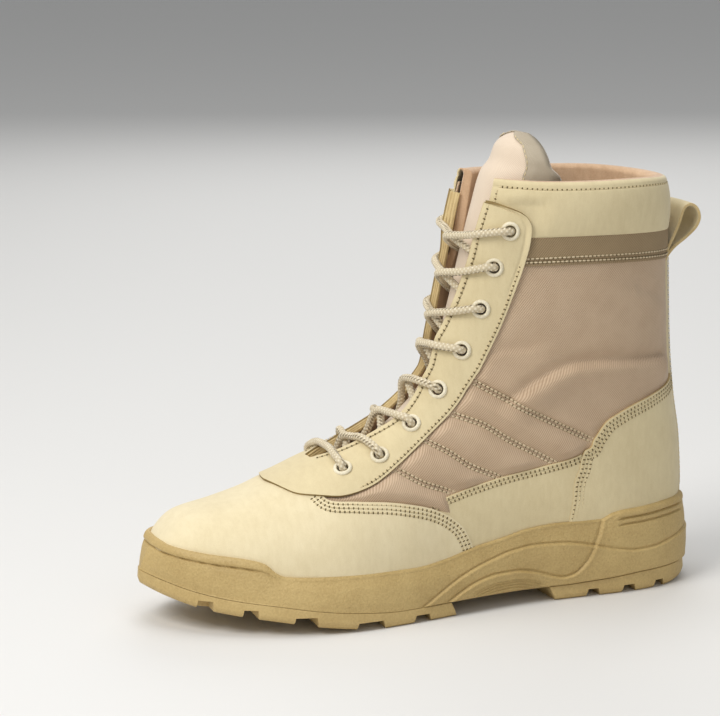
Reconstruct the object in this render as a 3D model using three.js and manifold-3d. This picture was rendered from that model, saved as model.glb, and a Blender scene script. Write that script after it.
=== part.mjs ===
// A left combat boot with an eight-inch shaft, in millimetres. +X runs to the toe, +Y to the
// outer side of the foot and +Z up. The origin is on the floor under the middle of the heel.
//
// The upper is a fan of sections. Each section is a plane across the boot that runs from a back
// or bottom point to a point on the front ridge; u counts the sections from the toe to the collar,
// and a turn angle runs each side's outline from the back point round to the ridge.

import * as THREE from "three";
import { mergeVertices } from "three/addons/utils/BufferGeometryUtils.js";
import Module from "manifold-3d";

const wasm = await Module();
wasm.setup();

// Driving dimensions
const seamGap = 0.3;
const wall = 2.6;
const collarPad = 7;
const lugDepth = 4.2;
const rimWall = 1.9;
const tongueDrop = 8.9;
const tongueThick = 5;
const insoleThick = 3;
const eyeletRim = 5.1;
const eyeletBore = 3.1;
const eyeletBarrel = 3.8;
const laceRadius = 2;
const loopWidth = 26;
const loopThick = 2;
const zipTapeHalf = 5.5;
const sand = 0xd8c49b;
const tan = 0xb79a74;

// Sections from the toe's feather edge to the collar
const sections = [
  // backX backZ frontX frontZ midY halfOut halfIn endOut endIn power
  [262.5, 31.5, 262.5, 32.5, -12, 2, 2, 1.9, 1.9, 0.75],
  [261, 30.6, 261.2, 38, -12, 12, 12, 10, 10, 0.75],
  [256, 28.4, 256, 46, -12, 22, 22, 20, 20, 0.75],
  [244, 24.8, 245, 56, -11, 32.5, 33.5, 31.5, 31.5, 0.78],
  [222, 20.8, 223, 61.5, -9, 42.5, 41.5, 41.5, 39.5, 0.8],
  [196, 17, 198, 69, -7, 48.5, 43, 47.5, 41, 0.84],
  [168, 14.6, 173, 80, -5, 50, 42, 48, 39, 0.92],
  [138, 14, 150, 92.5, -4, 47.5, 38.5, 45, 34, 1],
  [108, 17, 133, 104.5, -3, 42, 35.5, 39, 29.5, 1],
  [78, 21, 123, 115, -2, 38.5, 34.5, 35, 28.5, 1],
  [45, 25, 118, 123, -1, 36.5, 35.5, 33, 31, 0.97],
  [12, 27.5, 115.3, 129, 0, 36.5, 37, 33, 33, 0.95],
  [-14, 28.5, 113.5, 133.5, 0, 36.5, 37.5, 28, 28, 0.93],
  [-28, 30, 112.3, 137.2, 0, 36.5, 37.5, 16, 16, 0.92],
  [-32.5, 36, 111.5, 140.3, 0, 36.5, 37.5, 4, 4, 0.9],
  [-33.5, 52, 110.3, 145, 0, 36, 37, 0, 0, 0.88],
  [-32.5, 75, 108.7, 151, 0, 35.5, 36.5, 0, 0, 0.88],
  [-29, 100, 106.2, 160, 0, 35.5, 36.5, 0, 0, 0.88],
  [-26.5, 130, 102.8, 173, 0, 36, 37, 0, 0, 0.88],
  [-25.5, 165, 98.6, 190, 0, 36.5, 37.5, 0, 0, 0.88],
  [-25, 195, 94.5, 208, 0, 37.5, 38, 0, 0, 0.88],
  [-24, 217, 89.5, 226.5, 0, 38, 39, 0, 0, 0.88],
];
const collarU = sections.length - 1;

// Sole outline: x with the outer and inner edges' y
const soleOutline = [
  [-36, 0, 0], [-35, 9, -9], [-31, 19, -19], [-22, 28.5, -29], [-8, 35, -36], [10, 38, -39],
  [40, 38, -38], [75, 38.5, -34], [105, 43, -34], [135, 49, -39], [165, 53, -47], [190, 52, -51],
  [215, 44, -51], [238, 31, -46], [254, 16, -37], [264, 0, -25], [268, -12, -12],
];
// Heights along the length: tread underside, line between tread and midsole, midsole's top rim
const undersideHeights = [[-36, 3], [-25, 1], [-15, 0], [160, 0], [177, 2], [195, 4.6], [209, 7], [233, 10.6], [245, 12.6], [260, 16.9], [268, 20]];
const partingHeights = [[-36, 11], [0, 10.5], [25, 8.8], [52, 7.9], [144, 7.9], [168, 9.7], [191, 12.7], [211, 15.9], [233, 18.9], [250, 22.4], [261, 25.8], [268, 28]];
const rimHeights = [[-36, 45], [12, 44], [26, 41], [49, 41.5], [70, 40], [82, 37.4], [101, 34], [119, 29.8], [136, 28], [176, 28.2], [206, 30], [215, 36.5], [221, 38.5], [243, 41.5], [261, 44.5], [268, 46]];

// Throat edges, as distances from the mid line on the outer and inner sides
const throatStartU = 5.9;
const throatOut = [[5.9, 4], [6.5, 10], [8, 14], [9, 12], [10, 10], [14, 9.5], [16, 12], [18, 16], [21, 22]];
const throatIn = [[5.9, 4], [6.5, 11], [8, 17], [14, 18], [17, 17], [21, 22]];
// Eyelet rows: section and distance from the mid line on each side
const eyeletRows = [
  [6.27, 24, 25], [7.09, 26, 28], [8.25, 21, 28], [10.08, 18, 28],
  [14.74, 21, 28], [17.34, 24, 27], [18.64, 26, 28], [19.64, 29, 30],
];

// A smooth curve through points that never overshoots between them
function smoothCurve(points) {
  const xs = points.map((p) => p[0]);
  const ys = points.map((p) => p[1]);
  const last = xs.length - 1;
  const step = xs.slice(1).map((x, i) => x - xs[i]);
  const rise = step.map((h, i) => (ys[i + 1] - ys[i]) / h);
  const endSlope = (h0, h1, d0, d1) => {
    const slope = ((2 * h0 + h1) * d0 - h0 * d1) / (h0 + h1);
    if (slope * d0 <= 0) return 0;
    return d0 * d1 <= 0 && Math.abs(slope) > 3 * Math.abs(d0) ? 3 * d0 : slope;
  };
  const slopes = xs.map((_, i) => {
    if (i === 0) return endSlope(step[0], step[1], rise[0], rise[1]);
    if (i === last) return endSlope(step[last - 1], step[last - 2], rise[last - 1], rise[last - 2]);
    if (rise[i - 1] * rise[i] <= 0) return 0;
    const w1 = 2 * step[i] + step[i - 1];
    const w2 = step[i] + 2 * step[i - 1];
    return (w1 + w2) / (w1 / rise[i - 1] + w2 / rise[i]);
  });
  return (x) => {
    const at = Math.min(Math.max(x, xs[0]), xs[last]);
    let i = 0;
    while (i < last - 1 && at > xs[i + 1]) i += 1;
    const t = (at - xs[i]) / step[i];
    const a = (1 + 2 * t) * (1 - t) ** 2 * ys[i] + t * t * (3 - 2 * t) * ys[i + 1];
    return a + step[i] * (t * (1 - t) ** 2 * slopes[i] - t * t * (1 - t) * slopes[i + 1]);
  };
}

const clamp = (v, low, high) => Math.min(Math.max(v, low), high);
const spread = (count) => Array.from({ length: count + 1 }, (_, i) => i / count);
const mix = (a, b, t) => a + (b - a) * t;

const sectionCurves = sections[0].map((_, c) => smoothCurve(sections.map((row, i) => [i, row[c]])));
const undersideAt = smoothCurve(undersideHeights);
const partingAt = smoothCurve(partingHeights);
const rimAt = smoothCurve(rimHeights);
const throatOutAt = smoothCurve(throatOut);
const throatInAt = smoothCurve(throatIn);

// A section pulled in by the given amounts at its sides, ridge, back and bottom
function sectionAt(u, inset = {}) {
  const { side = 0, front = 0, back = 0, bottom = 0, toe = 0 } = inset;
  const [backX, backZ, frontX, frontZ, midY, out, inn, endOut, endIn, power] = sectionCurves.map((c) => c(u));
  const length = Math.hypot(frontX - backX, frontZ - backZ);
  const dirX = (frontX - backX) / length;
  const dirZ = (frontZ - backZ) / length;
  const heel = clamp((u - 12) / 2, 0, 1);
  const toeShift = toe * clamp(1 - u / 4, 0, 1);
  return {
    backX: backX + dirX * back * heel - toeShift,
    backZ: backZ + dirZ * back * heel + bottom * (1 - heel),
    frontX: frontX - dirX * front - toeShift,
    frontZ: frontZ - dirZ * front,
    midY,
    half: [Math.max(out - side, 0.2), Math.max(inn - side, 0.2)],
    end: [Math.max(endOut - (endOut > 0 ? side : 0), 0), Math.max(endIn - (endIn > 0 ? side : 0), 0)],
    power,
    dirX,
    dirZ,
  };
}

// The turn angle where a side's outline starts, at the bottom edge
function startAngle(section, side) {
  const share = clamp(section.end[side] / section.half[side], 0, 1);
  return Math.asin(share ** (1 / section.power));
}

function sectionPoint(section, side, angle) {
  const start = Math.cos(startAngle(section, side));
  const along = (start - Math.cos(angle)) / (1 + start);
  const y = section.half[side] * Math.max(Math.sin(angle), 0) ** section.power;
  return new THREE.Vector3(
    mix(section.backX, section.frontX, along),
    section.midY + (side === 0 ? y : -y),
    mix(section.backZ, section.frontZ, along),
  );
}

// side 0 is the outer side; t runs from the bottom edge (0) to the ridge (1)
function skin(u, side, t, inset) {
  const section = sectionAt(u, inset);
  const start = startAngle(section, side);
  return sectionPoint(section, side, mix(start, Math.PI, t));
}

// A point on the front half of a section at a distance from its mid line
function skinAcross(u, offset, inset) {
  const section = sectionAt(u, inset);
  const side = offset >= 0 ? 0 : 1;
  const share = clamp(Math.abs(offset) / section.half[side], 0, 1);
  return sectionPoint(section, side, Math.PI - Math.asin(share ** (1 / section.power)));
}

function skinNormal(u, offset) {
  const across = skinAcross(u, offset + 0.5).sub(skinAcross(u, offset - 0.5));
  const along = skinAcross(u + 0.05, offset).sub(skinAcross(u - 0.05, offset));
  const normal = across.cross(along).normalize();
  return normal.dot(new THREE.Vector3(1, 0, 0.6)) < 0 ? normal.negate() : normal;
}

// Solids

function toSolid(geometry) {
  const bare = geometry.clone();
  bare.deleteAttribute("normal");
  bare.deleteAttribute("uv");
  const merged = mergeVertices(bare, 1e-4);
  const index = merged.index.array;
  const kept = [];
  for (let i = 0; i < index.length; i += 3) {
    const [a, b, c] = [index[i], index[i + 1], index[i + 2]];
    if (a !== b && b !== c && c !== a) kept.push(a, b, c);
  }
  const make = (triVerts) => new wasm.Manifold(new wasm.Mesh({
    numProp: 3,
    vertProperties: Float32Array.from(merged.attributes.position.array),
    triVerts: Uint32Array.from(triVerts),
  }));
  const solid = make(kept);
  if (solid.volume() >= 0) return solid;
  const turned = [];
  for (let i = 0; i < kept.length; i += 3) turned.push(kept[i], kept[i + 2], kept[i + 1]);
  return make(turned);
}

function toGeometry(solid) {
  const mesh = solid.getMesh();
  const geometry = new THREE.BufferGeometry();
  geometry.setAttribute("position", new THREE.BufferAttribute(mesh.vertProperties, 3));
  geometry.setIndex(new THREE.BufferAttribute(mesh.triVerts, 1));
  geometry.computeVertexNormals();
  return geometry;
}

function meshFrom(points, triangles) {
  const geometry = new THREE.BufferGeometry();
  geometry.setAttribute("position", new THREE.Float32BufferAttribute(points.flatMap((p) => [p.x, p.y, p.z]), 3));
  geometry.setIndex(triangles);
  return toSolid(geometry);
}

// Rings of equal length joined in order, each ring's ends closed across to its other half
function loft(rings) {
  const count = rings[0].length;
  const triangles = [];
  for (let r = 0; r < rings.length - 1; r += 1) {
    for (let i = 0; i < count; i += 1) {
      const next = (i + 1) % count;
      const [a, b, c, d] = [r * count + i, r * count + next, (r + 1) * count + next, (r + 1) * count + i];
      triangles.push(a, b, c, a, c, d);
    }
  }
  const cap = (base, flip) => {
    for (let i = 0; i < count / 2 - 1; i += 1) {
      const j = count - 1 - i;
      const quad = [base + i, base + i + 1, base + j - 1, base + j];
      const [a, b, c, d] = flip ? quad.slice().reverse() : quad;
      if (j - 1 > i + 1) triangles.push(a, b, c);
      if (j > i) triangles.push(a, c, d);
    }
  };
  cap(0, true);
  cap((rings.length - 1) * count, false);
  return meshFrom(rings.flat(), triangles);
}

// A sheet with thickness: two grids of the same size joined round their edge
function slab(top, bottom) {
  const rows = top.length;
  const cols = top[0].length;
  const points = [...top.flat(), ...bottom.flat()];
  const at = (layer, r, c) => layer * rows * cols + r * cols + c;
  const triangles = [];
  const quad = (a, b, c, d) => triangles.push(a, b, c, a, c, d);
  for (let r = 0; r < rows - 1; r += 1) {
    for (let c = 0; c < cols - 1; c += 1) {
      quad(at(0, r, c), at(0, r, c + 1), at(0, r + 1, c + 1), at(0, r + 1, c));
      quad(at(1, r, c), at(1, r + 1, c), at(1, r + 1, c + 1), at(1, r, c + 1));
    }
  }
  for (let r = 0; r < rows - 1; r += 1) {
    quad(at(0, r, 0), at(0, r + 1, 0), at(1, r + 1, 0), at(1, r, 0));
    quad(at(0, r + 1, cols - 1), at(0, r, cols - 1), at(1, r, cols - 1), at(1, r + 1, cols - 1));
  }
  for (let c = 0; c < cols - 1; c += 1) {
    quad(at(0, 0, c + 1), at(0, 0, c), at(1, 0, c), at(1, 0, c + 1));
    quad(at(0, rows - 1, c), at(0, rows - 1, c + 1), at(1, rows - 1, c + 1), at(1, rows - 1, c));
  }
  return meshFrom(points, triangles);
}

function placed(geometry, position, zAxis, xHint = new THREE.Vector3(0, 0, 1)) {
  const z = zAxis.clone().normalize();
  const y = z.clone().cross(xHint).normalize();
  const x = y.clone().cross(z);
  return geometry.clone().applyMatrix4(new THREE.Matrix4().makeBasis(x, y, z).setPosition(position));
}

// Upper: the outer body less the inside, the throat and the eyelet holes

const skinShares = [0, 0.1, 0.24, 0.38, 0.52, 0.65, 0.76, 0.86, 0.94, 1];
const upperRows = [0, 0.6, 1, 1.5, 2, 2.5, 3, 4, 5, 6, 7, 8, 9, 9.5, 10, 10.5, 11, 11.5, 12, 12.5, 13, 13.5, 14, 14.5, 15, 16, 17, 18, 19, 20, 21];

function skinRing(u, inset) {
  const outer = skinShares.map((t) => skin(u, 0, t, inset));
  const inner = skinShares.map((t) => skin(u, 1, t, inset)).reverse();
  return [...outer, ...inner];
}

function skinBody(rows, inset, { dropBottom = 0, raiseTop = 0 } = {}) {
  const rings = rows.map((u) => {
    const ring = skinRing(u, typeof inset === "function" ? inset(u) : inset);
    if (dropBottom === 0) return ring;
    const drop = dropBottom * clamp((15 - u) / 2, 0, 1);
    const lower = (p) => p.clone().setZ(p.z - drop);
    return [lower(ring[0]), ...ring, lower(ring[ring.length - 1])];
  });
  if (raiseTop > 0) {
    const top = sectionAt(collarU);
    const up = new THREE.Vector3(-top.dirZ, 0, top.dirX).multiplyScalar(raiseTop);
    rings.push(rings[rings.length - 1].map((p) => p.clone().add(up)));
  }
  return loft(rings);
}

// The wall thickens into the padded collar
const lining = (u) => {
  const pad = clamp((u - 18.6) / 1.2, 0, 1);
  const side = mix(wall, collarPad, pad * pad * (3 - 2 * pad));
  return { side, back: side, front: wall, toe: 2 };
};

function throatCutter() {
  const us = [throatStartU, 6.1, 6.3, 6.5, ...spread(15).map((t) => 7 + 14 * (t < 1 ? t : 1)), collarU + 1];
  const rings = us.map((u) => {
    const at = Math.min(u, collarU);
    const section = sectionAt(at);
    const out = throatOutAt(at);
    const inn = throatInAt(at);
    const rise = u > collarU ? 9 : 0;
    const depth = mix(9, 24, clamp((at - 6) / 12, 0, 1));
    const corner = (y, along) => new THREE.Vector3(
      section.frontX + section.dirX * along - section.dirZ * rise,
      section.midY + y,
      section.frontZ + section.dirZ * along + section.dirX * rise,
    );
    return [corner(out, -depth), corner(out, 9), corner(-inn, 9), corner(-inn, -depth)];
  });
  return loft(rings);
}

const eyelets = eyeletRows.flatMap(([u, out, inn], row) => [out, -inn].map((offset, i) => ({
  name: `eyelet_${i === 0 ? "outer" : "inner"}_${row + 1}`,
  row,
  u,
  offset,
  centre: skinAcross(u, offset),
  normal: skinNormal(u, offset),
})));

const outerBody = skinBody(upperRows, {});
let upper = outerBody
  .subtract(skinBody([1.3, ...upperRows.filter((u) => u > 1.3)], lining, { dropBottom: 7, raiseTop: 8 }))
  .subtract(throatCutter());
for (const eyelet of eyelets) {
  const drill = new THREE.CylinderGeometry(eyeletBarrel + seamGap, eyeletBarrel + seamGap, 16, 10).rotateX(Math.PI / 2);
  upper = upper.subtract(toSolid(placed(drill, eyelet.centre, eyelet.normal)));
}

// Soles: rings round the foot from the toe tip along the outer side to the heel and back

const ringSteps = 26;

function alongPath(points, share) {
  const lengths = [0];
  for (let i = 1; i < points.length; i += 1) lengths.push(lengths[i - 1] + Math.hypot(points[i].x - points[i - 1].x, points[i].y - points[i - 1].y));
  const target = share * lengths[lengths.length - 1];
  let i = 1;
  while (i < points.length - 1 && lengths[i] < target) i += 1;
  const t = (target - lengths[i - 1]) / (lengths[i] - lengths[i - 1]);
  return points[i - 1].clone().lerp(points[i], t);
}

function roundTheFoot(outerSide, innerSide) {
  const shares = spread(ringSteps);
  const out = shares.map((s) => alongPath(outerSide, s));
  const inn = shares.map((s) => alongPath(innerSide, s));
  return [...out, ...inn.reverse()];
}

// Where the rim height meets the upper, on one side, from the toe ridge to the back of the heel
function rimPath(side) {
  const us = spread(90).map((s) => mix(1.5, 15.2, s));
  const path = [];
  for (const u of us) {
    let low = 0;
    let high = 0.75;
    if (u < 5) high = 1;
    const over = (t) => {
      const p = skin(u, side, t);
      return p.z - rimAt(p.x);
    };
    if (over(low) >= 0 || over(high) <= 0) continue;
    for (let i = 0; i < 30; i += 1) {
      const mid = (low + high) / 2;
      if (over(mid) < 0) low = mid;
      else high = mid;
    }
    path.push(skin(u, side, (low + high) / 2));
  }
  const ridgeU = 1.93;
  const backU = 14.56;
  return [skin(ridgeU, side, 1), ...path.filter((p) => p.x < skin(ridgeU, side, 1).x - 0.2), skin(backU, side, 0)];
}

function sidePath(side) {
  const outline = soleOutline.map(([x, out, inn]) => new THREE.Vector3(x, side === 0 ? out : inn, 0));
  const curve = new THREE.CatmullRomCurve3(outline.reverse(), false, "centripetal");
  return curve.getPoints(160);
}

function shiftOut(ring, distance) {
  const count = ring.length;
  const ends = [0, ringSteps, ringSteps + 1, count - 1];
  return ring.map((p, i) => {
    const before = ring[(i - 1 + count) % count];
    const after = ring[(i + 1) % count];
    let normal = new THREE.Vector3(after.y - before.y, before.x - after.x, 0).normalize();
    if (i === ends[0] || i === ends[3]) normal = new THREE.Vector3(1, 0, 0);
    if (i === ends[1] || i === ends[2]) normal = new THREE.Vector3(-1, 0, 0);
    return p.clone().addScaledVector(normal, distance);
  });
}

const soleRing = roundTheFoot(sidePath(0), sidePath(1));
const footRing = roundTheFoot(rimPath(0), rimPath(1));
const rimRing = shiftOut(footRing, rimWall + seamGap);
const level = (ring, height) => ring.map((p) => p.clone().setZ(height(p.x)));
const between = (a, b, t) => a.map((p, i) => p.clone().lerp(b[i], t));

const lowRing = level(shiftOut(soleRing, -1), partingAt);
const rimTop = level(rimRing, rimAt);
const wallRing = (share, out) => shiftOut(between(level(soleRing, partingAt), rimTop, share), out);
const midsoleBlock = loft([
  lowRing,
  wallRing(0.05, 0.2),
  wallRing(0.3, 1.2),
  wallRing(0.6, 1.6),
  wallRing(0.88, 0.7),
  rimTop,
]);
const pocket = skinBody(upperRows.filter((u) => u <= 19), { side: -seamGap, front: -seamGap, back: -seamGap, bottom: -seamGap, toe: -seamGap });
const midsole = midsoleBlock.subtract(pocket);

// A block between two x planes, wide and tall enough to keep or cut a whole stretch of sole
function slice(fromX, toX, leanFrom = 0, leanTo = 0) {
  const quad = (z) => [
    new THREE.Vector3(fromX + leanFrom * z, -90, z), new THREE.Vector3(toX + leanTo * z, -90, z),
    new THREE.Vector3(toX + leanTo * z, 90, z), new THREE.Vector3(fromX + leanFrom * z, 90, z),
  ];
  return loft([quad(-10), quad(60)]);
}

const treadBlock = loft([
  level(shiftOut(soleRing, -1.2), undersideAt),
  level(shiftOut(soleRing, 0.6), (x) => undersideAt(x) + 1.6),
  level(shiftOut(soleRing, 0.2), (x) => partingAt(x) - seamGap),
]);

// A groove cut up into the tread between two x positions, from the edge towards the middle
function groove(fromX, toX, fromY, toY, skew = 0) {
  const topZ = undersideAt((fromX + toX) / 2) + lugDepth;
  const taper = 1.2;
  const quad = (z, inset) => [
    new THREE.Vector3(fromX + inset, fromY, z), new THREE.Vector3(toX - inset, fromY, z),
    new THREE.Vector3(toX - inset + skew, toY, z), new THREE.Vector3(fromX + inset + skew, toY, z),
  ];
  return loft([quad(-6, 0), quad(topZ - 1.5, taper * 0.5), quad(topZ, taper + 0.6)]);
}

function cutGrooves(tread, gaps, reach) {
  let cut = tread;
  for (const [fromX, toX] of gaps) {
    cut = cut.subtract(groove(fromX, toX, 80, reach, -5));
    cut = cut.subtract(groove(fromX, toX, -80, -reach - 4, -5));
  }
  return cut;
}

const forefootGaps = [[132, 141], [159, 174], [195, 207], [224, 232], [245, 253]];
const heelGaps = [[-9, -3], [9.5, 17], [31, 38]];
const forefootBlocks = [[124, 127], [149, 152], [182, 185], [214, 217], [238, 241]];
let forefootTread = cutGrooves(treadBlock.intersect(slice(113, 290, 0.45, 0)), forefootGaps, 16);
for (const [fromX, toX] of forefootBlocks) {
  if (fromX !== 149) forefootTread = forefootTread.subtract(groove(fromX, toX, 15, -19, 0));
}
const heelTread = cutGrooves(treadBlock.intersect(slice(-60, 53, 0, 0.5)), heelGaps, 14);

// Insole: a thin pad just inside the lining, on the midsole
function insoleGrid(height, edgeInset) {
  const us = [1.9, 2.5, 3, 4, 5, 6, 7, 8, 9, 10, 11, 12, 12.5, 12.9, 13.1];
  return us.map((u) => {
    const section = sectionAt(u, lining(u));
    const narrow = edgeInset + 5.5 * Math.max(u - 11.7, 0);
    const [out, inn] = section.end.map((e) => Math.max(e - narrow, 1.2));
    return spread(6).map((s) => {
      const y = mix(-inn, out, s);
      const edge = Math.abs(s - 0.5) * 2;
      return new THREE.Vector3(section.backX, section.midY + y, section.backZ + height + (height > 1 ? 1.2 * edge ** 3 : 0));
    });
  });
}
const insole = slab(insoleGrid(insoleThick, 0.9), insoleGrid(seamGap + 0.1, 0.9));

// Tongue: follows the inside of the throat, and leans back above the collar
const tongueTop = [
  // frontX frontZ wingX wingZ half
  [72.5, 232, 41.5, 229, 27.6],
  [66, 240, 45, 237, 23],
  [60, 244.5, 49, 242.5, 15],
  [56, 246.5, 52, 246, 6],
];
const tongueHalfAt = smoothCurve([[5.5, 15], [7, 21], [9, 24], [13, 26], [17, 27], [21, 28.6]]);
const tongueDropAt = smoothCurve([[5.5, 4], [6.2, tongueDrop], [9, tongueDrop], [12, tongueDrop + 1.2], [18, tongueDrop + 0.8], [21, 12.5]]);

function tongueRow(u, deeper) {
  const drop = tongueDropAt(u) + deeper;
  const side = mix(7.6, 9.2, clamp((u - 15) / 4, 0, 1)) + deeper * 0.8;
  const half = tongueHalfAt(u);
  return spread(8).map((s) => skinAcross(u, mix(-half, half, s), { side, back: side, front: drop }));
}
function tongueTopRow([frontX, frontZ, wingX, wingZ, half], deeper) {
  return spread(8).map((s) => {
    const y = mix(-half, half, s);
    const bow = Math.sqrt(Math.max(1 - (y / half) ** 2, 0)) ** 1.3;
    return new THREE.Vector3(mix(wingX, frontX, bow) - deeper * 0.85, y, mix(wingZ, frontZ, bow) - deeper * 0.25);
  });
}
const tongueUs = [5.55, 6, 6.5, 7, 7.5, 8, 9, 10, 12, 14, 15, 16, 17, 18, 19, 20, 21];
const tongueGrid = (deeper) => [
  ...tongueUs.map((u) => tongueRow(u, deeper * clamp((u - 4.8) / 1.6, 0.4, 1))),
  ...tongueTop.map((row, i) => tongueTopRow(row, deeper * [0.95, 0.85, 0.7, 0.5][i])),
];
const tongue = slab(tongueGrid(0), tongueGrid(tongueThick));

// Eyelets: a flange on the outside and a barrel through the wall, turned about the hole's axis
const eyeletProfile = [
  [eyeletBore, -wall - 0.9], [eyeletBarrel, -wall - 0.9], [eyeletBarrel, seamGap], [eyeletRim, seamGap],
  [eyeletRim - 0.5, 1.2], [eyeletBore, 0.9], [eyeletBore, -wall - 0.9],
].map(([r, h]) => new THREE.Vector2(r, h));
const eyeletShape = new THREE.LatheGeometry(eyeletProfile, 10).rotateX(Math.PI / 2);

// Laces: every strand leaves an eyelet, crosses its own flap's edge and dives under the other flap
function hexagon(radius) {
  const shape = new THREE.Shape();
  spread(6).slice(0, 6).forEach((s, i) => {
    const [x, y] = [radius * Math.cos(s * 2 * Math.PI), radius * Math.sin(s * 2 * Math.PI)];
    if (i === 0) shape.moveTo(x, y);
    else shape.lineTo(x, y);
  });
  return shape;
}
function tube(points, radius, steps) {
  const path = new THREE.CatmullRomCurve3(points, false, "centripetal");
  return toSolid(new THREE.ExtrudeGeometry(hexagon(radius), { steps, bevelEnabled: false, extrudePath: path }));
}

function overSkin(u, offset, height) {
  return skinAcross(u, offset).addScaledVector(skinNormal(u, offset), height);
}
function strand(row, side, lift) {
  const [u, out, inn] = eyeletRows[row];
  const sign = side === 0 ? 1 : -1;
  const below = row > 0 ? eyeletRows[row - 1][0] : u;
  const start = sign * (side === 0 ? out : inn);
  const ownEdge = sign * (side === 0 ? throatOutAt(u) : throatInAt(u));
  const farU = mix(u, below, 0.72);
  const farEdge = -sign * (side === 0 ? throatInAt(farU) : throatOutAt(farU));
  const middle = (throatOutAt(u) - throatInAt(u)) / 2;
  return tube([
    overSkin(u, start, 2.95),
    overSkin(mix(u, below, 0.03), start - sign * 1.2, 4),
    overSkin(mix(u, below, 0.12), mix(start, ownEdge, 0.55), laceRadius + 1.8),
    overSkin(mix(u, below, 0.22), ownEdge - sign * 1.5, laceRadius + 0.6),
    overSkin(mix(u, below, 0.46), middle, lift),
    overSkin(farU, farEdge + sign * 2.5, -wall - laceRadius - 0.3),
    overSkin(mix(u, below, 0.78), farEdge - sign * 1.5, -wall - laceRadius - 0.5),
  ], laceRadius, 8);
}
const crossings = eyeletRows.slice(1).map((_, i) => ({
  name: `lace_crossing_${i + 2}`,
  solid: strand(i + 1, 0, 0.9).add(strand(i + 1, 1, -2.5)),
}));
const [barU, barOut, barIn] = eyeletRows[0];
const laceBar = tube([
  overSkin(barU, barOut, 2.5), overSkin(barU, barOut - 1.2, 3.6), overSkin(barU, barOut - 8, 3.4),
  overSkin(barU, 6, 2.6), overSkin(barU, -8, 2.6), overSkin(barU, -barIn + 8, 3.4),
  overSkin(barU, -barIn + 1.2, 3.6), overSkin(barU, -barIn, 2.5),
], laceRadius, 10);

// Pull loop: a strap folded into a drop shape that stands off the back seam
const backAt = (z) => {
  let low = 12;
  let high = collarU;
  for (let i = 0; i < 30; i += 1) {
    const mid = (low + high) / 2;
    if (sectionAt(mid).backZ < z) low = mid;
    else high = mid;
  }
  return sectionAt(low).backX;
};
function pullLoopShape() {
  const outside = new THREE.Shape();
  const seamX = backAt(175) - seamGap - 0.4;
  outside.moveTo(seamX, 166);
  outside.lineTo(seamX, 177);
  outside.lineTo(-34, 203.5);
  outside.quadraticCurveTo(-36.5, 206.5, -40, 204);
  outside.quadraticCurveTo(-44.5, 201, -43, 194);
  outside.quadraticCurveTo(-41, 188, -34, 182);
  outside.quadraticCurveTo(-29.5, 178, seamX - 2.4, 172);
  outside.lineTo(seamX - 2.4, 166);
  const hole = new THREE.Path();
  hole.moveTo(-29.2, 183);
  hole.quadraticCurveTo(-39.5, 190, -41, 195);
  hole.quadraticCurveTo(-42, 199.5, -39, 202);
  hole.quadraticCurveTo(-37, 203.5, -35.6, 201.5);
  hole.lineTo(-29.2, 183);
  outside.holes.push(hole);
  return outside;
}
const pullLoop = toSolid(new THREE.ExtrudeGeometry(pullLoopShape(), { depth: loopWidth, bevelEnabled: false, curveSegments: 5 })
  .rotateX(Math.PI / 2).translate(0, loopWidth / 2, 0));

// Zip on the inner side: x of the zip's line by height
const zipLineAt = smoothCurve([[70, 71], [100, 68], [134, 64], [170, 57], [190, 52.5], [230, 45]]);
const zipBottomZ = 72;
const zipTopZ = 192;
function innerSide(x, z, height) {
  // the point of the inner side's skin at this x and z, lifted off it
  let [u, t] = [z > 130 ? 17 : 11, 0.5];
  for (let i = 0; i < 40; i += 1) {
    const p = skin(u, 1, t);
    const du = skin(u + 0.02, 1, t).sub(p).divideScalar(0.02);
    const dt = skin(u, 1, t + 0.002).sub(p).divideScalar(0.002);
    const det = du.x * dt.z - du.z * dt.x;
    const [ex, ez] = [x - p.x, z - p.z];
    u = clamp(u + 0.7 * (ex * dt.z - ez * dt.x) / det, 5, collarU - 0.1);
    t = clamp(t + 0.7 * (du.x * ez - du.z * ex) / det, 0.02, 0.98);
  }
  const p = skin(u, 1, t);
  const du = skin(u + 0.02, 1, t).sub(p);
  const dt = skin(u, 1, t + 0.002).sub(p);
  const normal = du.cross(dt).normalize();
  if (normal.y > 0) normal.negate();
  return p.addScaledVector(normal, height);
}
function bandOnInnerSide(zs, xsAt, low, high) {
  const grid = (height) => zs.map((z) => xsAt(z).map((x) => innerSide(x, z, height(x, z))));
  return slab(grid(high), grid(low));
}
const zipTape = bandOnInnerSide(
  spread(10).map((s) => mix(zipBottomZ, zipTopZ, s)),
  (z) => [-1, 0, 1].map((s) => zipLineAt(z) + s * zipTapeHalf),
  () => seamGap + 0.1,
  (x, z) => seamGap + 1.4 - 0.5 * Math.abs(x - zipLineAt(z)) / zipTapeHalf,
);

const strapLow = 181;
const strapHigh = 198;
const strapLift = (x, z) => 6.2 * Math.exp(-(((x - zipLineAt(z)) / 8.5) ** 4)) + 0.5;
const strapXs = (z) => [12, 20, 30, 38, 42, 45, 48, 51, 54, 57, 60, 63, 67].map((x) => x + (zipLineAt(z) - 53) * 0.4);
const zipStrap = bandOnInnerSide(
  [strapLow, (strapLow + strapHigh) / 2, strapHigh],
  strapXs,
  (x, z) => strapLift(x, z),
  (x, z) => strapLift(x, z) + 1.8,
);

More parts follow.
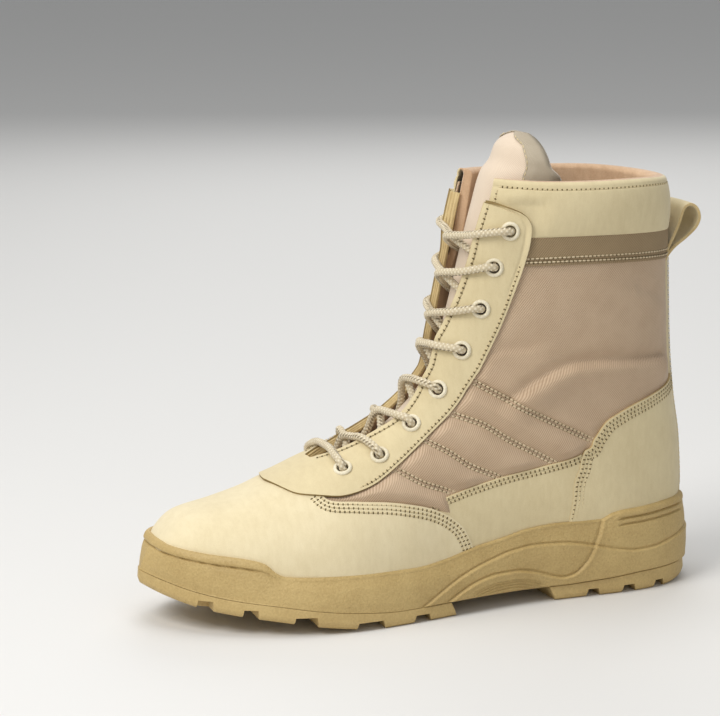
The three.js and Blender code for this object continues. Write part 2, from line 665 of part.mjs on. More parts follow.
// Slider and its pull tab, in a frame whose x runs forward, y up along the zip, z out of the boot
const sliderZ = 183.5;
const sliderSeat = innerSide(zipLineAt(sliderZ), sliderZ, 0);
const outward = innerSide(zipLineAt(sliderZ), sliderZ, 1).sub(sliderSeat).normalize();
const upZip = innerSide(zipLineAt(sliderZ + 6), sliderZ + 6, 0).sub(innerSide(zipLineAt(sliderZ - 6), sliderZ - 6, 0));
upZip.addScaledVector(outward, -upZip.dot(outward)).normalize();
const forward = upZip.clone().cross(outward);
const zipFrame = new THREE.Matrix4().makeBasis(forward, upZip, outward).setPosition(sliderSeat);
const boxAt = (sx, sy, sz, x, y, z) => toSolid(new THREE.BoxGeometry(sx, sy, sz).translate(x, y, z));

const bodyTop = 4.1;
const pivotY = -4.6;
const pivotZ = 6.1;
const pinRadius = 0.6;
const pin = toSolid(new THREE.CylinderGeometry(pinRadius, pinRadius, 7.4, 10).rotateZ(Math.PI / 2).translate(0, pivotY, pivotZ));
const slider = boxAt(8, 11, 2, 0, 0, bodyTop - 1)
  .add(boxAt(1.3, 2.4, 2.8, 3.2, pivotY, 5.4))
  .add(boxAt(1.3, 2.4, 2.8, -3.2, pivotY, 5.4))
  .add(pin);
function tabShape() {
  const shape = new THREE.Shape();
  shape.moveTo(-2.1, 1.6);
  shape.lineTo(-2.6, -8);
  shape.quadraticCurveTo(-2.6, -11, 0, -11);
  shape.quadraticCurveTo(2.6, -11, 2.6, -8);
  shape.lineTo(2.1, 1.6);
  shape.closePath();
  return shape;
}
const tabPlate = toSolid(new THREE.ExtrudeGeometry(tabShape(), { depth: 1.2, bevelEnabled: false, curveSegments: 4 })
  .translate(0, pivotY, pivotZ - 0.6));
const tabEye = toSolid(new THREE.CylinderGeometry(1.7, 1.7, 4.2, 12).rotateZ(Math.PI / 2).translate(0, pivotY, pivotZ));
const tabBore = toSolid(new THREE.CylinderGeometry(pinRadius + 0.3, pinRadius + 0.3, 8, 10).rotateZ(Math.PI / 2).translate(0, pivotY, pivotZ));
const zipPull = tabPlate.add(tabEye).subtract(tabBore);

// Scene graph

const finish = (color, roughness, metalness = 0) => new THREE.MeshStandardMaterial({ color, roughness, metalness });
const suede = finish(sand, 0.9);
const rubber = finish(0xc2a56b, 0.65);
const cloth = finish(tan, 0.85);
const lace = finish(0xcabfa6, 0.85);
const paint = finish(0xe6dcc2, 0.4);
const steel = finish(0x8c8478, 0.35, 0.9);

const boot = new THREE.Group();
boot.name = "combat_boot";

function addPart(name, solid, material, parent = boot) {
  const mesh = new THREE.Mesh(toGeometry(solid), material.clone());
  mesh.name = name;
  parent.add(mesh);
  return mesh;
}

addPart("upper", upper, suede);
addPart("midsole", midsole, rubber);
addPart("forefoot_tread", forefootTread, rubber);
addPart("heel_tread", heelTread, rubber);
addPart("insole", insole, cloth);
addPart("tongue", tongue, cloth);
for (const eyelet of eyelets) addPart(eyelet.name, toSolid(placed(eyeletShape, eyelet.centre, eyelet.normal)), paint);
addPart("lace_bar", laceBar, lace);
for (const crossing of crossings) addPart(crossing.name, crossing.solid, lace);
addPart("pull_loop", pullLoop, suede);
addPart("zip", zipTape, cloth);
addPart("zip_strap", zipStrap, suede);

const zipGroup = new THREE.Group();
zipGroup.applyMatrix4(zipFrame);
boot.add(zipGroup);
addPart("zip_slider", slider, steel, zipGroup);
addPart("zip_pull", zipPull, steel, zipGroup);

export default boot;
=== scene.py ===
import math

import bmesh
import bpy
import numpy as np
from mathutils import Matrix, Vector


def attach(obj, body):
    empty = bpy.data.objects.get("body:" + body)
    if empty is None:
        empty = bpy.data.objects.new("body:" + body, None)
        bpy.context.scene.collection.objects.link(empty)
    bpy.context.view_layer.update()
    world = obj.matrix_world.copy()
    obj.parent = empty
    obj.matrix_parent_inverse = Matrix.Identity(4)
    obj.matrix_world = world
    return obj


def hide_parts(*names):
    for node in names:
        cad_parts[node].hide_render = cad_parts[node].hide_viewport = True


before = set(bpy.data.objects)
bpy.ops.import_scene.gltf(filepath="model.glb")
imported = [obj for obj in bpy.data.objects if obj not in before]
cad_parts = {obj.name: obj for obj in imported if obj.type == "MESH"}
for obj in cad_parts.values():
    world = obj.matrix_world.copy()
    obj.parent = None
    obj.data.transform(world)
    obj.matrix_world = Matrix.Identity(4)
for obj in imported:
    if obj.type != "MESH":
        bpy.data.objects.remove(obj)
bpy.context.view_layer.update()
mm = 0.001
bootBody = "boot"


# the boot's own surface
upperSections = [  # backX backZ frontX frontZ midY halfOut halfIn endOut endIn power
    (262.5, 31.5, 262.5, 32.5, -12, 2, 2, 1.9, 1.9, 0.75),
    (261, 30.6, 261.2, 38, -12, 12, 12, 10, 10, 0.75),
    (256, 28.4, 256, 46, -12, 22, 22, 20, 20, 0.75),
    (244, 24.8, 245, 56, -11, 32.5, 33.5, 31.5, 31.5, 0.78),
    (222, 20.8, 223, 61.5, -9, 42.5, 41.5, 41.5, 39.5, 0.8),
    (196, 17, 198, 69, -7, 48.5, 43, 47.5, 41, 0.84),
    (168, 14.6, 173, 80, -5, 50, 42, 48, 39, 0.92),
    (138, 14, 150, 92.5, -4, 47.5, 38.5, 45, 34, 1),
    (108, 17, 133, 104.5, -3, 42, 35.5, 39, 29.5, 1),
    (78, 21, 123, 115, -2, 38.5, 34.5, 35, 28.5, 1),
    (45, 25, 118, 123, -1, 36.5, 35.5, 33, 31, 0.97),
    (12, 27.5, 115.3, 129, 0, 36.5, 37, 33, 33, 0.95),
    (-14, 28.5, 113.5, 133.5, 0, 36.5, 37.5, 28, 28, 0.93),
    (-28, 30, 112.3, 137.2, 0, 36.5, 37.5, 16, 16, 0.92),
    (-32.5, 36, 111.5, 140.3, 0, 36.5, 37.5, 4, 4, 0.9),
    (-33.5, 52, 110.3, 145, 0, 36, 37, 0, 0, 0.88),
    (-32.5, 75, 108.7, 151, 0, 35.5, 36.5, 0, 0, 0.88),
    (-29, 100, 106.2, 160, 0, 35.5, 36.5, 0, 0, 0.88),
    (-26.5, 130, 102.8, 173, 0, 36, 37, 0, 0, 0.88),
    (-25.5, 165, 98.6, 190, 0, 36.5, 37.5, 0, 0, 0.88),
    (-25, 195, 94.5, 208, 0, 37.5, 38, 0, 0, 0.88),
    (-24, 217, 89.5, 226.5, 0, 38, 39, 0, 0, 0.88),
]
collarU = len(upperSections) - 1
throatFrom = 5.9
throatOut = [(throatFrom, 4), (6.5, 10), (8, 14), (9, 12), (10, 10), (14, 9.5), (16, 12), (18, 16), (21, 22)]
throatIn = [(throatFrom, 4), (6.5, 11), (8, 17), (14, 18), (17, 17), (21, 22)]
eyeletRows = [(6.27, 24, 25), (7.09, 26, 28), (8.25, 21, 28), (10.08, 18, 28),
              (14.74, 21, 28), (17.34, 24, 27), (18.64, 26, 28), (19.64, 29, 30)]


def smoothCurve(points):  # a monotone cubic run through (x, y) points
    xs, ys = np.array(points, float).T
    step, last = np.diff(xs), len(xs) - 1
    rise = np.diff(ys) / step
    slopes = np.zeros(len(xs))
    for i in range(1, last):
        if rise[i - 1] * rise[i] > 0:
            w1, w2 = 2 * step[i] + step[i - 1], step[i] + 2 * step[i - 1]
            slopes[i] = (w1 + w2) / (w1 / rise[i - 1] + w2 / rise[i])

    def endSlope(h0, h1, d0, d1):
        slope = ((2 * h0 + h1) * d0 - h0 * d1) / (h0 + h1)
        if slope * d0 <= 0:
            return 0
        return 3 * d0 if d0 * d1 <= 0 and abs(slope) > 3 * abs(d0) else slope

    if last > 1:
        slopes[0] = endSlope(step[0], step[1], rise[0], rise[1])
        slopes[last] = endSlope(step[-1], step[-2], rise[-1], rise[-2])
    else:
        slopes[:] = rise[0]

    def at(x):
        x = np.clip(x, xs[0], xs[-1])
        i = np.clip(np.searchsorted(xs, x, "right") - 1, 0, last - 1)
        t = (x - xs[i]) / step[i]
        low = (1 + 2 * t) * (1 - t) ** 2 * ys[i] + t * t * (3 - 2 * t) * ys[i + 1]
        return low + step[i] * (t * (1 - t) ** 2 * slopes[i] - t * t * (1 - t) * slopes[i + 1])

    return at


sectionCurves = [smoothCurve([(i, row[c]) for i, row in enumerate(upperSections)]) for c in range(10)]
throatOutAt, throatInAt = smoothCurve(throatOut), smoothCurve(throatIn)


def mix(a, b, t):
    return a + (b - a) * t


def unit(rows, least=1e-9):
    return rows / np.maximum(np.linalg.norm(rows, axis=-1, keepdims=True), least)


def distances(points):  # how far along its run each point is
    return np.concatenate([[0], np.cumsum(np.linalg.norm(np.diff(points, axis=0), axis=1))])


def smoothStep(low, high, x):
    t = np.clip((x - low) / (high - low), 0, 1)
    return t * t * (3 - 2 * t)


def sectionAt(u, sides=0, front=0, back=0, toe=0):  # a section pulled in by the given amounts
    backX, backZ, frontX, frontZ, midY, halfOut, halfIn, endOut, endIn, power = (c(u) for c in sectionCurves)
    length = np.hypot(frontX - backX, frontZ - backZ)
    dirX, dirZ = (frontX - backX) / length, (frontZ - backZ) / length
    heel, toeShift = np.clip((u - 12) / 2, 0, 1), toe * np.clip(1 - u / 4, 0, 1)
    return {"backX": backX + dirX * back * heel - toeShift, "backZ": backZ + dirZ * back * heel,
            "frontX": frontX - dirX * front - toeShift, "frontZ": frontZ - dirZ * front, "midY": midY,
            "power": power,
            "half": (np.maximum(halfOut - sides, 0.2), np.maximum(halfIn - sides, 0.2)),
            "end": (np.maximum(endOut - np.where(endOut > 0, sides, 0), 0),
                    np.maximum(endIn - np.where(endIn > 0, sides, 0), 0)),
            "dirX": dirX, "dirZ": dirZ}


def pick(pair, side):  # side is 1 on the outer side of the foot and -1 on the inner
    return np.where(side > 0, pair[0], pair[1])


def turnedTo(section, side, y):  # angle on a section's curve at that distance from its middle
    return np.arcsin(np.clip(y / pick(section["half"], side), 0, 1) ** (1 / section["power"]))


def pointAt(section, side, angle):
    half, power = pick(section["half"], side), section["power"]
    start = np.cos(turnedTo(section, side, pick(section["end"], side)))
    along = (start - np.cos(angle)) / (1 + start)
    y = section["midY"] + side * half * np.maximum(np.sin(angle), 0) ** power
    x = mix(section["backX"], section["frontX"], along)
    z = mix(section["backZ"], section["frontZ"], along)
    return np.stack(np.broadcast_arrays(x, y, z), -1)


def skin(u, side, t, **inset):  # t runs from the bottom edge or back seam (0) to the front ridge (1)
    section = sectionAt(u, **inset)
    start = turnedTo(section, side, pick(section["end"], side))
    return pointAt(section, side, mix(start, np.pi, t))


def turnOf(u, side, offset):  # t of a point on the front half at that distance from the mid line
    section = sectionAt(u)
    start = turnedTo(section, side, pick(section["end"], side))
    return (np.pi - turnedTo(section, side, offset) - start) / (np.pi - start)


def skinNormal(u, side, t):
    u, side, t = np.broadcast_arrays(np.asarray(u, float), side, np.asarray(t, float))
    alongU = skin(np.minimum(u + 0.03, collarU), side, t) - skin(np.maximum(u - 0.03, 0), side, t)
    alongT = skin(u, side, np.minimum(t + 0.004, 1)) - skin(u, side, np.maximum(t - 0.004, 0))
    normal = unit(np.cross(alongU, alongT))
    section = sectionAt(u)
    inside = 6  # the middle of a section is moved back and down by this, well inside the boot
    midX, midZ = (mix(section["back" + c], section["front" + c], 0.5) - inside for c in "XZ")
    centre = np.stack([midX, section["midY"] + 0 * u, midZ], -1)
    outward = np.sum(normal * (skin(u, side, t) - centre), -1, keepdims=True)
    return np.where(outward < 0, -normal, normal)


def lifted(u, side, t, height):
    return skin(u, side, t) + skinNormal(u, side, t) * np.asarray(height)[..., None]


searchU, searchT = [a.ravel() for a in np.meshgrid(np.linspace(1, collarU, 101), np.linspace(0, 1, 61),
                                                   indexing="ij")]


def onSide(x, z, side):  # (u, t) of the side's point with this x and z
    x, z = np.atleast_1d(np.asarray(x, float)), np.atleast_1d(np.asarray(z, float))
    net = skin(searchU, side, searchT)
    near = np.argmin((net[:, 0][None] - x[:, None]) ** 2 + (net[:, 2][None] - z[:, None]) ** 2, 1)
    u, t = searchU[near].copy(), searchT[near].copy()
    for _ in range(14):
        p = skin(u, side, t)
        du, dt = (skin(u + 0.01, side, t) - p) / 0.01, (skin(u, side, t + 0.001) - p) / 0.001
        det = du[:, 0] * dt[:, 2] - du[:, 2] * dt[:, 0]
        det = np.where(np.abs(det) < 1, np.sign(det + 1e-9), det)
        ex, ez = x - p[:, 0], z - p[:, 2]
        u = np.clip(u + 0.6 * (ex * dt[:, 2] - ez * dt[:, 0]) / det, 0.6, collarU)
        t = np.clip(t + 0.6 * (du[:, 0] * ez - du[:, 2] * ex) / det, 0, 1)
    return u, t


# makers
def linked(name, data):
    obj = bpy.data.objects.new(name, data)
    bpy.context.scene.collection.objects.link(obj)
    return obj


def meshFrom(bm, mesh):  # mesh is an old one to fill again, or a new one's name
    if isinstance(mesh, str):
        mesh = bpy.data.meshes.new(mesh)
    bm.to_mesh(mesh)
    bm.free()
    return mesh


def opened(mesh):
    bm = bmesh.new()
    bm.from_mesh(mesh)
    return bm


def newObject(name, mesh, materials, body=bootBody, smooth=True):
    obj = linked(name, mesh)
    mesh.materials.clear()
    for material in materials:
        mesh.materials.append(material)
    if smooth:
        mesh.polygons.foreach_set("use_smooth", [True] * len(mesh.polygons))
    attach(obj, body)
    return obj


def gridMesh(name, cols, rows, place, closeRound=False, facing=None):
    # a flat grid with its own UV map, its points then put where place(a, b) says
    bm = bmesh.new()
    bm.loops.layers.uv.new("UVMap")
    bmesh.ops.create_grid(bm, x_segments=cols, y_segments=rows, size=0.5, calc_uvs=True)
    mesh = meshFrom(bm, name)
    flat = np.empty(len(mesh.vertices) * 3)
    mesh.vertices.foreach_get("co", flat)
    a, b = np.clip(flat[0::3] + 0.5, 0, 1), np.clip(flat[1::3] + 0.5, 0, 1)
    points = np.asarray(place(a, b), float)
    mesh.vertices.foreach_set("co", (points * mm).ravel())
    bm = opened(mesh)
    if closeRound:
        bmesh.ops.remove_doubles(bm, verts=bm.verts, dist=0.00002)
    bm.normal_update()
    if facing is not None:  # most faces look the way that facing(centre) says
        total = sum(f.normal.dot(facing(f.calc_center_median())) * f.calc_area() for f in bm.faces)
        if total < 0:
            bmesh.ops.reverse_faces(bm, faces=bm.faces)
    if closeRound:
        bmesh.ops.recalc_face_normals(bm, faces=bm.faces)
    return meshFrom(bm, mesh)


def awayFromFoot(centre):
    line = Vector((min(max(centre.x, 0.02), 0.2), 0, 0.05 if centre.z < 0.09 and centre.x > 0.09
                   else centre.z))
    return centre - line


def bevelEdges(obj, name, width, degrees):
    bevel = obj.modifiers.new(name, "BEVEL")
    bevel.width, bevel.segments = width * mm, 2
    bevel.limit_method, bevel.angle_limit = "ANGLE", math.radians(degrees)


def thicken(obj, thickness, edge=0.25, rim=1, offset=-1):
    solid = obj.modifiers.new("thickness", "SOLIDIFY")
    solid.thickness, solid.offset, solid.use_even_offset = thickness * mm, offset, False
    solid.material_offset_rim = rim
    if edge:
        bevelEdges(obj, "edge", edge, 50)


def polyline(points, count=80):  # a smooth run through (x, z) points, evenly spread
    points = np.array(points, float)
    along = distances(points)
    at = np.linspace(0, along[-1], count)
    return np.stack([smoothCurve(list(zip(along, points[:, c])))(at) for c in range(points.shape[1])], 1)


def sideways(points, distance):  # a run of (x, z) points moved to its left
    direction = unit(np.gradient(points, axis=0))
    return points + np.stack([-direction[:, 1], direction[:, 0]], 1) * distance


def interpolated(curve):  # rows of values as a function of a share along them
    shares = np.linspace(0, 1, len(curve))
    return lambda s: np.stack([np.interp(s, shares, curve[:, c]) for c in range(curve.shape[1])], -1)


# stitches
threadRows = {}


def sew(group, points, normals, pitch=2.6, hole=True):
    # points and normals are dense runs along a seam; one stitch for each pitch
    # with hole set, a dark dot of painted shade marks each needle hole
    along = distances(points)
    if along[-1] < pitch * 2:
        return
    marks = np.linspace(0, along[-1], int(along[-1] / pitch) + 1)
    at = lambda rows, s: np.stack([np.interp(s, along, rows[:, c]) for c in range(3)], -1)
    ends, up = at(points, marks), at(normals, (marks[:-1] + marks[1:]) / 2)
    threadRows.setdefault(group, []).append((ends, up, hole))


def sewOnSide(group, xz, side, height, **options):
    u, t = onSide(xz[:, 0], xz[:, 1], side)
    sew(group, lifted(u, side, t, np.full(len(u), float(height))), skinNormal(u, side, t), **options)


def sewOnTurn(group, u, side, t, height, **options):
    u, t = np.broadcast_arrays(u, t)
    sew(group, lifted(u, side, t, np.broadcast_to(height, u.shape)), skinNormal(u, side, t), **options)


def basis(forward, up):
    forward = Vector(forward).normalized()
    up = Vector(up)
    across = up.cross(forward).normalized()
    return Matrix((forward, across, forward.cross(across))).transposed().to_4x4()


def addCopy(bm, mesh, place):
    mesh.transform(place)
    bm.from_mesh(mesh)
    mesh.transform(place.inverted())


def makeStitches():
    bm = bmesh.new()
    bmesh.ops.create_uvsphere(bm, u_segments=6, v_segments=4, radius=1)
    bmesh.ops.rotate(bm, verts=bm.verts, matrix=Matrix.Rotation(math.pi / 2, 3, "Y"))
    grain = meshFrom(bm, "one_stitch")
    # a small dark cone laid on the surface at each stitch end: painted shade for the needle hole
    bm = bmesh.new()
    bmesh.ops.create_cone(bm, cap_ends=True, segments=6, radius1=0.001, radius2=0.00001, depth=0.0004)
    dot = meshFrom(bm, "one_hole_shade")
    for group, runs in threadRows.items():
        thread, size = threadLook.get(group, (threadSand, (0.8, 0.36, 0.26)))
        threads, holes = bmesh.new(), bmesh.new()
        for ends, ups, hole in runs:
            for i in range(len(ends) - 1):
                step = ends[i + 1] - ends[i]
                length = np.linalg.norm(step)
                turn = basis(step, ups[i])
                middle = Vector((ends[i] + ends[i + 1]) / 2 * mm)
                scale = Matrix.Diagonal((length * 0.5 * size[0] * mm, size[1] * mm, size[2] * mm, 1))
                addCopy(threads, grain, Matrix.Translation(middle) @ turn @ scale)
                # painted shade: a dark dot where the needle hole is
                if hole:
                    squeezed = Matrix.Diagonal((0.5, 0.8, 0.6, 1)) @ Matrix.Rotation(0.5, 4, "Z")
                    addCopy(holes, dot, Matrix.Translation(Vector(ends[i] * mm)) @ turn @ squeezed)
        for name, bm, material in (("stitches_" + group, threads, thread),
                                   ("hole_shades_" + group, holes, needleHoleShade)):
            if bm.verts:
                newObject(name, meshFrom(bm, name), [material])
            else:
                bm.free()
    bpy.data.meshes.remove(grain)
    bpy.data.meshes.remove(dot)


# finishes
def nodeGroup(name, inputs, outputs):
    tree = bpy.data.node_groups.new(name, "ShaderNodeTree")
    for socketName, kind, value in inputs:
        made = tree.interface.new_socket(socketName, in_out="INPUT", socket_type=kind)
        if value is not None:
            made.default_value = value
    for socketName, kind in outputs:
        tree.interface.new_socket(socketName, in_out="OUTPUT", socket_type=kind)
    return tree, tree.nodes.new("NodeGroupInput"), tree.nodes.new("NodeGroupOutput")


def put(tree, kind, links=(), **values):
    node = tree.nodes.new(kind)
    for key, value in values.items():
        if key.startswith("in_"):
            node.inputs[int(key[3:])].default_value = value
        else:
            setattr(node, key, value)
    for index, source in links:
        tree.links.new(source, node.inputs[index])
    return node


def calc(tree, operation, *values):  # a math node; sockets are linked and numbers set
    node = tree.nodes.new("ShaderNodeMath")
    node.operation = operation
    for index, value in enumerate(values):
        if isinstance(value, bpy.types.NodeSocket):
            tree.links.new(value, node.inputs[index])
        else:
            node.inputs[index].default_value = value
    return node.outputs[0]


def blend(tree, share, low, high):  # the two are sockets
    links = [(0, share), (6, low), (7, high)]
    return put(tree, "ShaderNodeMix", links, data_type="RGBA").outputs[2]


def makeNap():  # soft cloudy colour and a short raised pile
    tree, take, give = nodeGroup("nap", [("Light", "NodeSocketColor", (1, 1, 1, 1)),
                                         ("Dark", "NodeSocketColor", (0.5, 0.5, 0.5, 1)),
                                         ("Pile", "NodeSocketFloat", 1900.0)],
                                 [("Color", "NodeSocketColor"), ("Height", "NodeSocketFloat"),
                                  ("Rough", "NodeSocketFloat")])
    where = put(tree, "ShaderNodeTexCoord").outputs["Object"]
    cloud = put(tree, "ShaderNodeTexNoise", [(0, where)], in_2=34.0, in_3=4.0, in_4=0.6)
    brushed = put(tree, "ShaderNodeMapping", [(0, where)])
    brushed.inputs["Scale"].default_value = (1.0, 0.5, 0.35)
    streak = put(tree, "ShaderNodeTexNoise", [(0, brushed.outputs[0])], in_2=330.0, in_3=3.0, in_4=0.65)
    pile = put(tree, "ShaderNodeTexNoise", [(0, where), (2, take.outputs["Pile"])], in_3=3.0, in_4=0.7)
    clouded = calc(tree, "ADD", cloud.outputs[0], streak.outputs[0])
    mottled = calc(tree, "ADD", clouded, calc(tree, "MULTIPLY", pile.outputs[0], 0.8))
    share = put(tree, "ShaderNodeMapRange", [(0, mottled)], in_1=0.95, in_2=1.85).outputs[0]
    tree.links.new(blend(tree, share, take.outputs["Dark"], take.outputs["Light"]), give.inputs["Color"])
    tree.links.new(calc(tree, "ADD", pile.outputs[0], streak.outputs[0]), give.inputs["Height"])
    rough = put(tree, "ShaderNodeMapRange", [(0, streak.outputs[0])], in_1=0.3, in_2=0.7, in_3=0.86,
                in_4=0.98)
    tree.links.new(rough.outputs[0], give.inputs["Rough"])
    return tree


def makeTwill():  # diagonal weave over x and z in metres, with slubs
    tree, take, give = nodeGroup("twill",
                                 [("Where", "NodeSocketVector", None),
                                  ("Thread", "NodeSocketColor", (1, 1, 1, 1)),
                                  ("Gap", "NodeSocketColor", (0.4, 0.4, 0.4, 1)),
                                  ("Pitch", "NodeSocketFloat", 1.0)],
                                 [("Color", "NodeSocketColor"), ("Height", "NodeSocketFloat")])
    where = take.outputs["Where"]
    turned = put(tree, "ShaderNodeMapping", [(0, where)])
    turned.inputs["Rotation"].default_value = (0, math.radians(38), 0)
    scaled = put(tree, "ShaderNodeVectorMath", [(0, turned.outputs[0]), (3, take.outputs["Pitch"])],
                 operation="SCALE")
    rib = put(tree, "ShaderNodeTexWave", [(0, scaled.outputs[0])], wave_type="BANDS", bands_direction="X",
              in_1=195.0, in_2=0.4, in_3=1.0)
    cross = put(tree, "ShaderNodeTexWave", [(0, scaled.outputs[0])], wave_type="BANDS", bands_direction="Z",
                in_1=300.0, in_2=0.6, in_3=1.0)
    slub = put(tree, "ShaderNodeTexNoise", [(0, where)], in_2=60.0, in_3=4.0, in_4=0.6)
    fuzz = put(tree, "ShaderNodeTexNoise", [(0, where)], in_2=2100.0, in_3=2.0, in_4=0.6)
    weave = calc(tree, "ADD", rib.outputs["Fac"], calc(tree, "MULTIPLY", cross.outputs["Fac"], 0.45))
    height = calc(tree, "ADD", weave, calc(tree, "MULTIPLY", fuzz.outputs[0], 0.5))
    uneven = calc(tree, "ADD", slub.outputs[0], height)
    share = put(tree, "ShaderNodeMapRange", [(0, uneven)], in_1=0.75, in_2=2.0).outputs[0]
    tree.links.new(blend(tree, share, take.outputs["Gap"], take.outputs["Thread"]), give.inputs["Color"])
    tree.links.new(height, give.inputs["Height"])
    return tree


def makeStipple():  # fine pebbled rubber, its colour darker in soft clouds and in the low parts of its fine grain
    tree, take, give = nodeGroup("stipple",
                                 [("Light", "NodeSocketColor", (1, 1, 1, 1)),
                                  ("Dark", "NodeSocketColor", (0.5, 0.5, 0.5, 1)),
                                  ("Grain", "NodeSocketFloat", 1100.0)],
                                 [("Color", "NodeSocketColor"), ("Height", "NodeSocketFloat"),
                                  ("Rough", "NodeSocketFloat")])
    where = put(tree, "ShaderNodeTexCoord").outputs["Object"]
    pebble = put(tree, "ShaderNodeTexVoronoi", [(0, where), (2, take.outputs["Grain"])], feature="SMOOTH_F1")
    fine = put(tree, "ShaderNodeTexNoise", [(0, where)], in_2=900.0, in_3=3.0, in_4=0.6)
    cloud = put(tree, "ShaderNodeTexNoise", [(0, where)], in_2=40.0, in_3=4.0, in_4=0.55)
    # colour share from the clouds and the fine grain, so the grain's low parts come out darker
    cloudAndGrain = calc(tree, "ADD", cloud.outputs[0], fine.outputs[0])
    share = put(tree, "ShaderNodeMapRange", [(0, cloudAndGrain)], in_1=0.75, in_2=1.25).outputs[0]
    tree.links.new(blend(tree, share, take.outputs["Dark"], take.outputs["Light"]), give.inputs["Color"])
    height = calc(tree, "ADD", calc(tree, "MULTIPLY", pebble.outputs["Distance"], 0.9), fine.outputs[0])
    tree.links.new(height, give.inputs["Height"])
    rough = put(tree, "ShaderNodeMapRange", [(0, cloud.outputs[0])], in_1=0.3, in_2=0.7, in_3=0.5, in_4=0.68)
    tree.links.new(rough.outputs[0], give.inputs["Rough"])
    return tree


shared = {"nap": makeNap(), "twill": makeTwill(), "stipple": makeStipple()}


def tone(red, green, blue):  # a colour given as a screen shows it
    return tuple((c / 12.92 if c <= 0.04045 else ((c + 0.055) / 1.055) ** 2.4)
                 for c in (red / 255, green / 255, blue / 255)) + (1.0,)


def finish(name, effect, values, bump, sheen=0.0, rough=0.8, metallic=0.0, coat=0.0, bumpDepth=0.0003,
           flatSize=None):
    material = bpy.data.materials.new(name)
    material.use_nodes = True
    tree = material.node_tree
    shader = tree.nodes["Principled BSDF"]
    shader.inputs["Roughness"].default_value = rough
    shader.inputs["Metallic"].default_value = metallic
    shader.inputs["Sheen Weight"].default_value = sheen
    shader.inputs["Sheen Roughness"].default_value = 0.5
    shader.inputs["Coat Weight"].default_value = coat
    group = tree.nodes.new("ShaderNodeGroup")
    group.node_tree = shared[effect]
    for key, value in values.items():
        group.inputs[key].default_value = value
    if "Where" in group.inputs:
        where = put(tree, "ShaderNodeTexCoord").outputs["Object"]
        if flatSize:  # a cloth's own length and width in metres, along its UV map
            split = put(tree, "ShaderNodeSeparateXYZ",
                        [(0, put(tree, "ShaderNodeUVMap", uv_map="UVMap").outputs[0])])
            sized = [calc(tree, "MULTIPLY", split.outputs[i], flatSize[i]) for i in (0, 1)]
            where = put(tree, "ShaderNodeCombineXYZ", [(0, sized[0]), (2, sized[1])]).outputs[0]
        tree.links.new(where, group.inputs["Where"])
    tree.links.new(group.outputs["Color"], shader.inputs["Base Color"])
    if "Rough" in group.outputs:
        tree.links.new(group.outputs["Rough"], shader.inputs["Roughness"])
    bumpNode = tree.nodes.new("ShaderNodeBump")
    bumpNode.inputs["Strength"].default_value = bump
    bumpNode.inputs["Distance"].default_value = bumpDepth
    tree.links.new(group.outputs["Height"], bumpNode.inputs["Height"])
    tree.links.new(bumpNode.outputs[0], shader.inputs["Normal"])
    return material


suede = finish("sand_suede", "nap", {"Light": tone(219, 204, 164), "Dark": tone(204, 187, 146)}, 0.35,
               sheen=0.2)
# a paler copy of the sand suede for the top-lit vamp: painted light
suedeVampLit = finish("lit_pale_suede", "nap", {"Light": tone(229, 215, 179), "Dark": tone(214, 198, 158)}, 0.35,
                   sheen=0.25)
suedeTan = finish("tan_suede", "nap", {"Light": tone(196, 174, 133), "Dark": tone(166, 142, 102)}, 0.45,
                  sheen=0.2)
rawEdge = finish("raw_edge", "nap", {"Light": tone(220, 198, 148), "Dark": tone(176, 150, 102),
                                     "Pile": 2600.0}, 0.5)
# a darker colour for the eyestay's cut edges, drawing its dark outline
darkEdge = finish("dark_outline_edge", "nap", {"Light": tone(164, 142, 92), "Dark": tone(116, 94, 56),
                                         "Pile": 2600.0}, 0.5)
nylon = finish("pink_tan_nylon", "twill",
               {"Thread": tone(201, 176, 147), "Gap": tone(163, 136, 107), "Pitch": 1.6}, 0.35, rough=0.7,
               sheen=0.15)
nylonDark = finish("shaded_nylon", "twill",
                   {"Thread": tone(160, 138, 104), "Gap": tone(126, 105, 75), "Pitch": 1.6}, 0.35, rough=0.75)
tongueCloth = finish("pale_nylon", "twill",
                     {"Thread": tone(222, 204, 182), "Gap": tone(206, 187, 164), "Pitch": 2.2}, 0.15,
                     rough=0.8, sheen=0.2, flatSize=(0.215, 0.11))
bindingCloth = finish("grey_binding", "twill",
                      {"Thread": tone(188, 176, 155), "Gap": tone(150, 137, 116), "Pitch": 2.2}, 0.2,
                      rough=0.8, flatSize=(0.24, 0.02))
liningCloth = finish("peach_lining", "nap",
                     {"Light": tone(214, 182, 148), "Dark": tone(182, 147, 113), "Pile": 1300.0}, 0.6,
                     sheen=0.3)
soleRubber = finish("sole_rubber", "stipple", {"Light": tone(194, 168, 112), "Dark": tone(174, 147, 92)},
                    0.6, rough=0.6, bumpDepth=0.0004)
treadRubber = finish("tread_rubber", "stipple",
                     {"Light": tone(197, 171, 115), "Dark": tone(176, 149, 94), "Grain": 700.0}, 0.15,
                     rough=0.55)
threadSand = finish("sand_thread", "nap",
                    {"Light": tone(224, 208, 168), "Dark": tone(194, 176, 134), "Pile": 4000.0}, 0.4)
threadPale = finish("pale_thread", "nap",
                    {"Light": tone(226, 209, 178), "Dark": tone(186, 166, 132), "Pile": 4000.0}, 0.4)
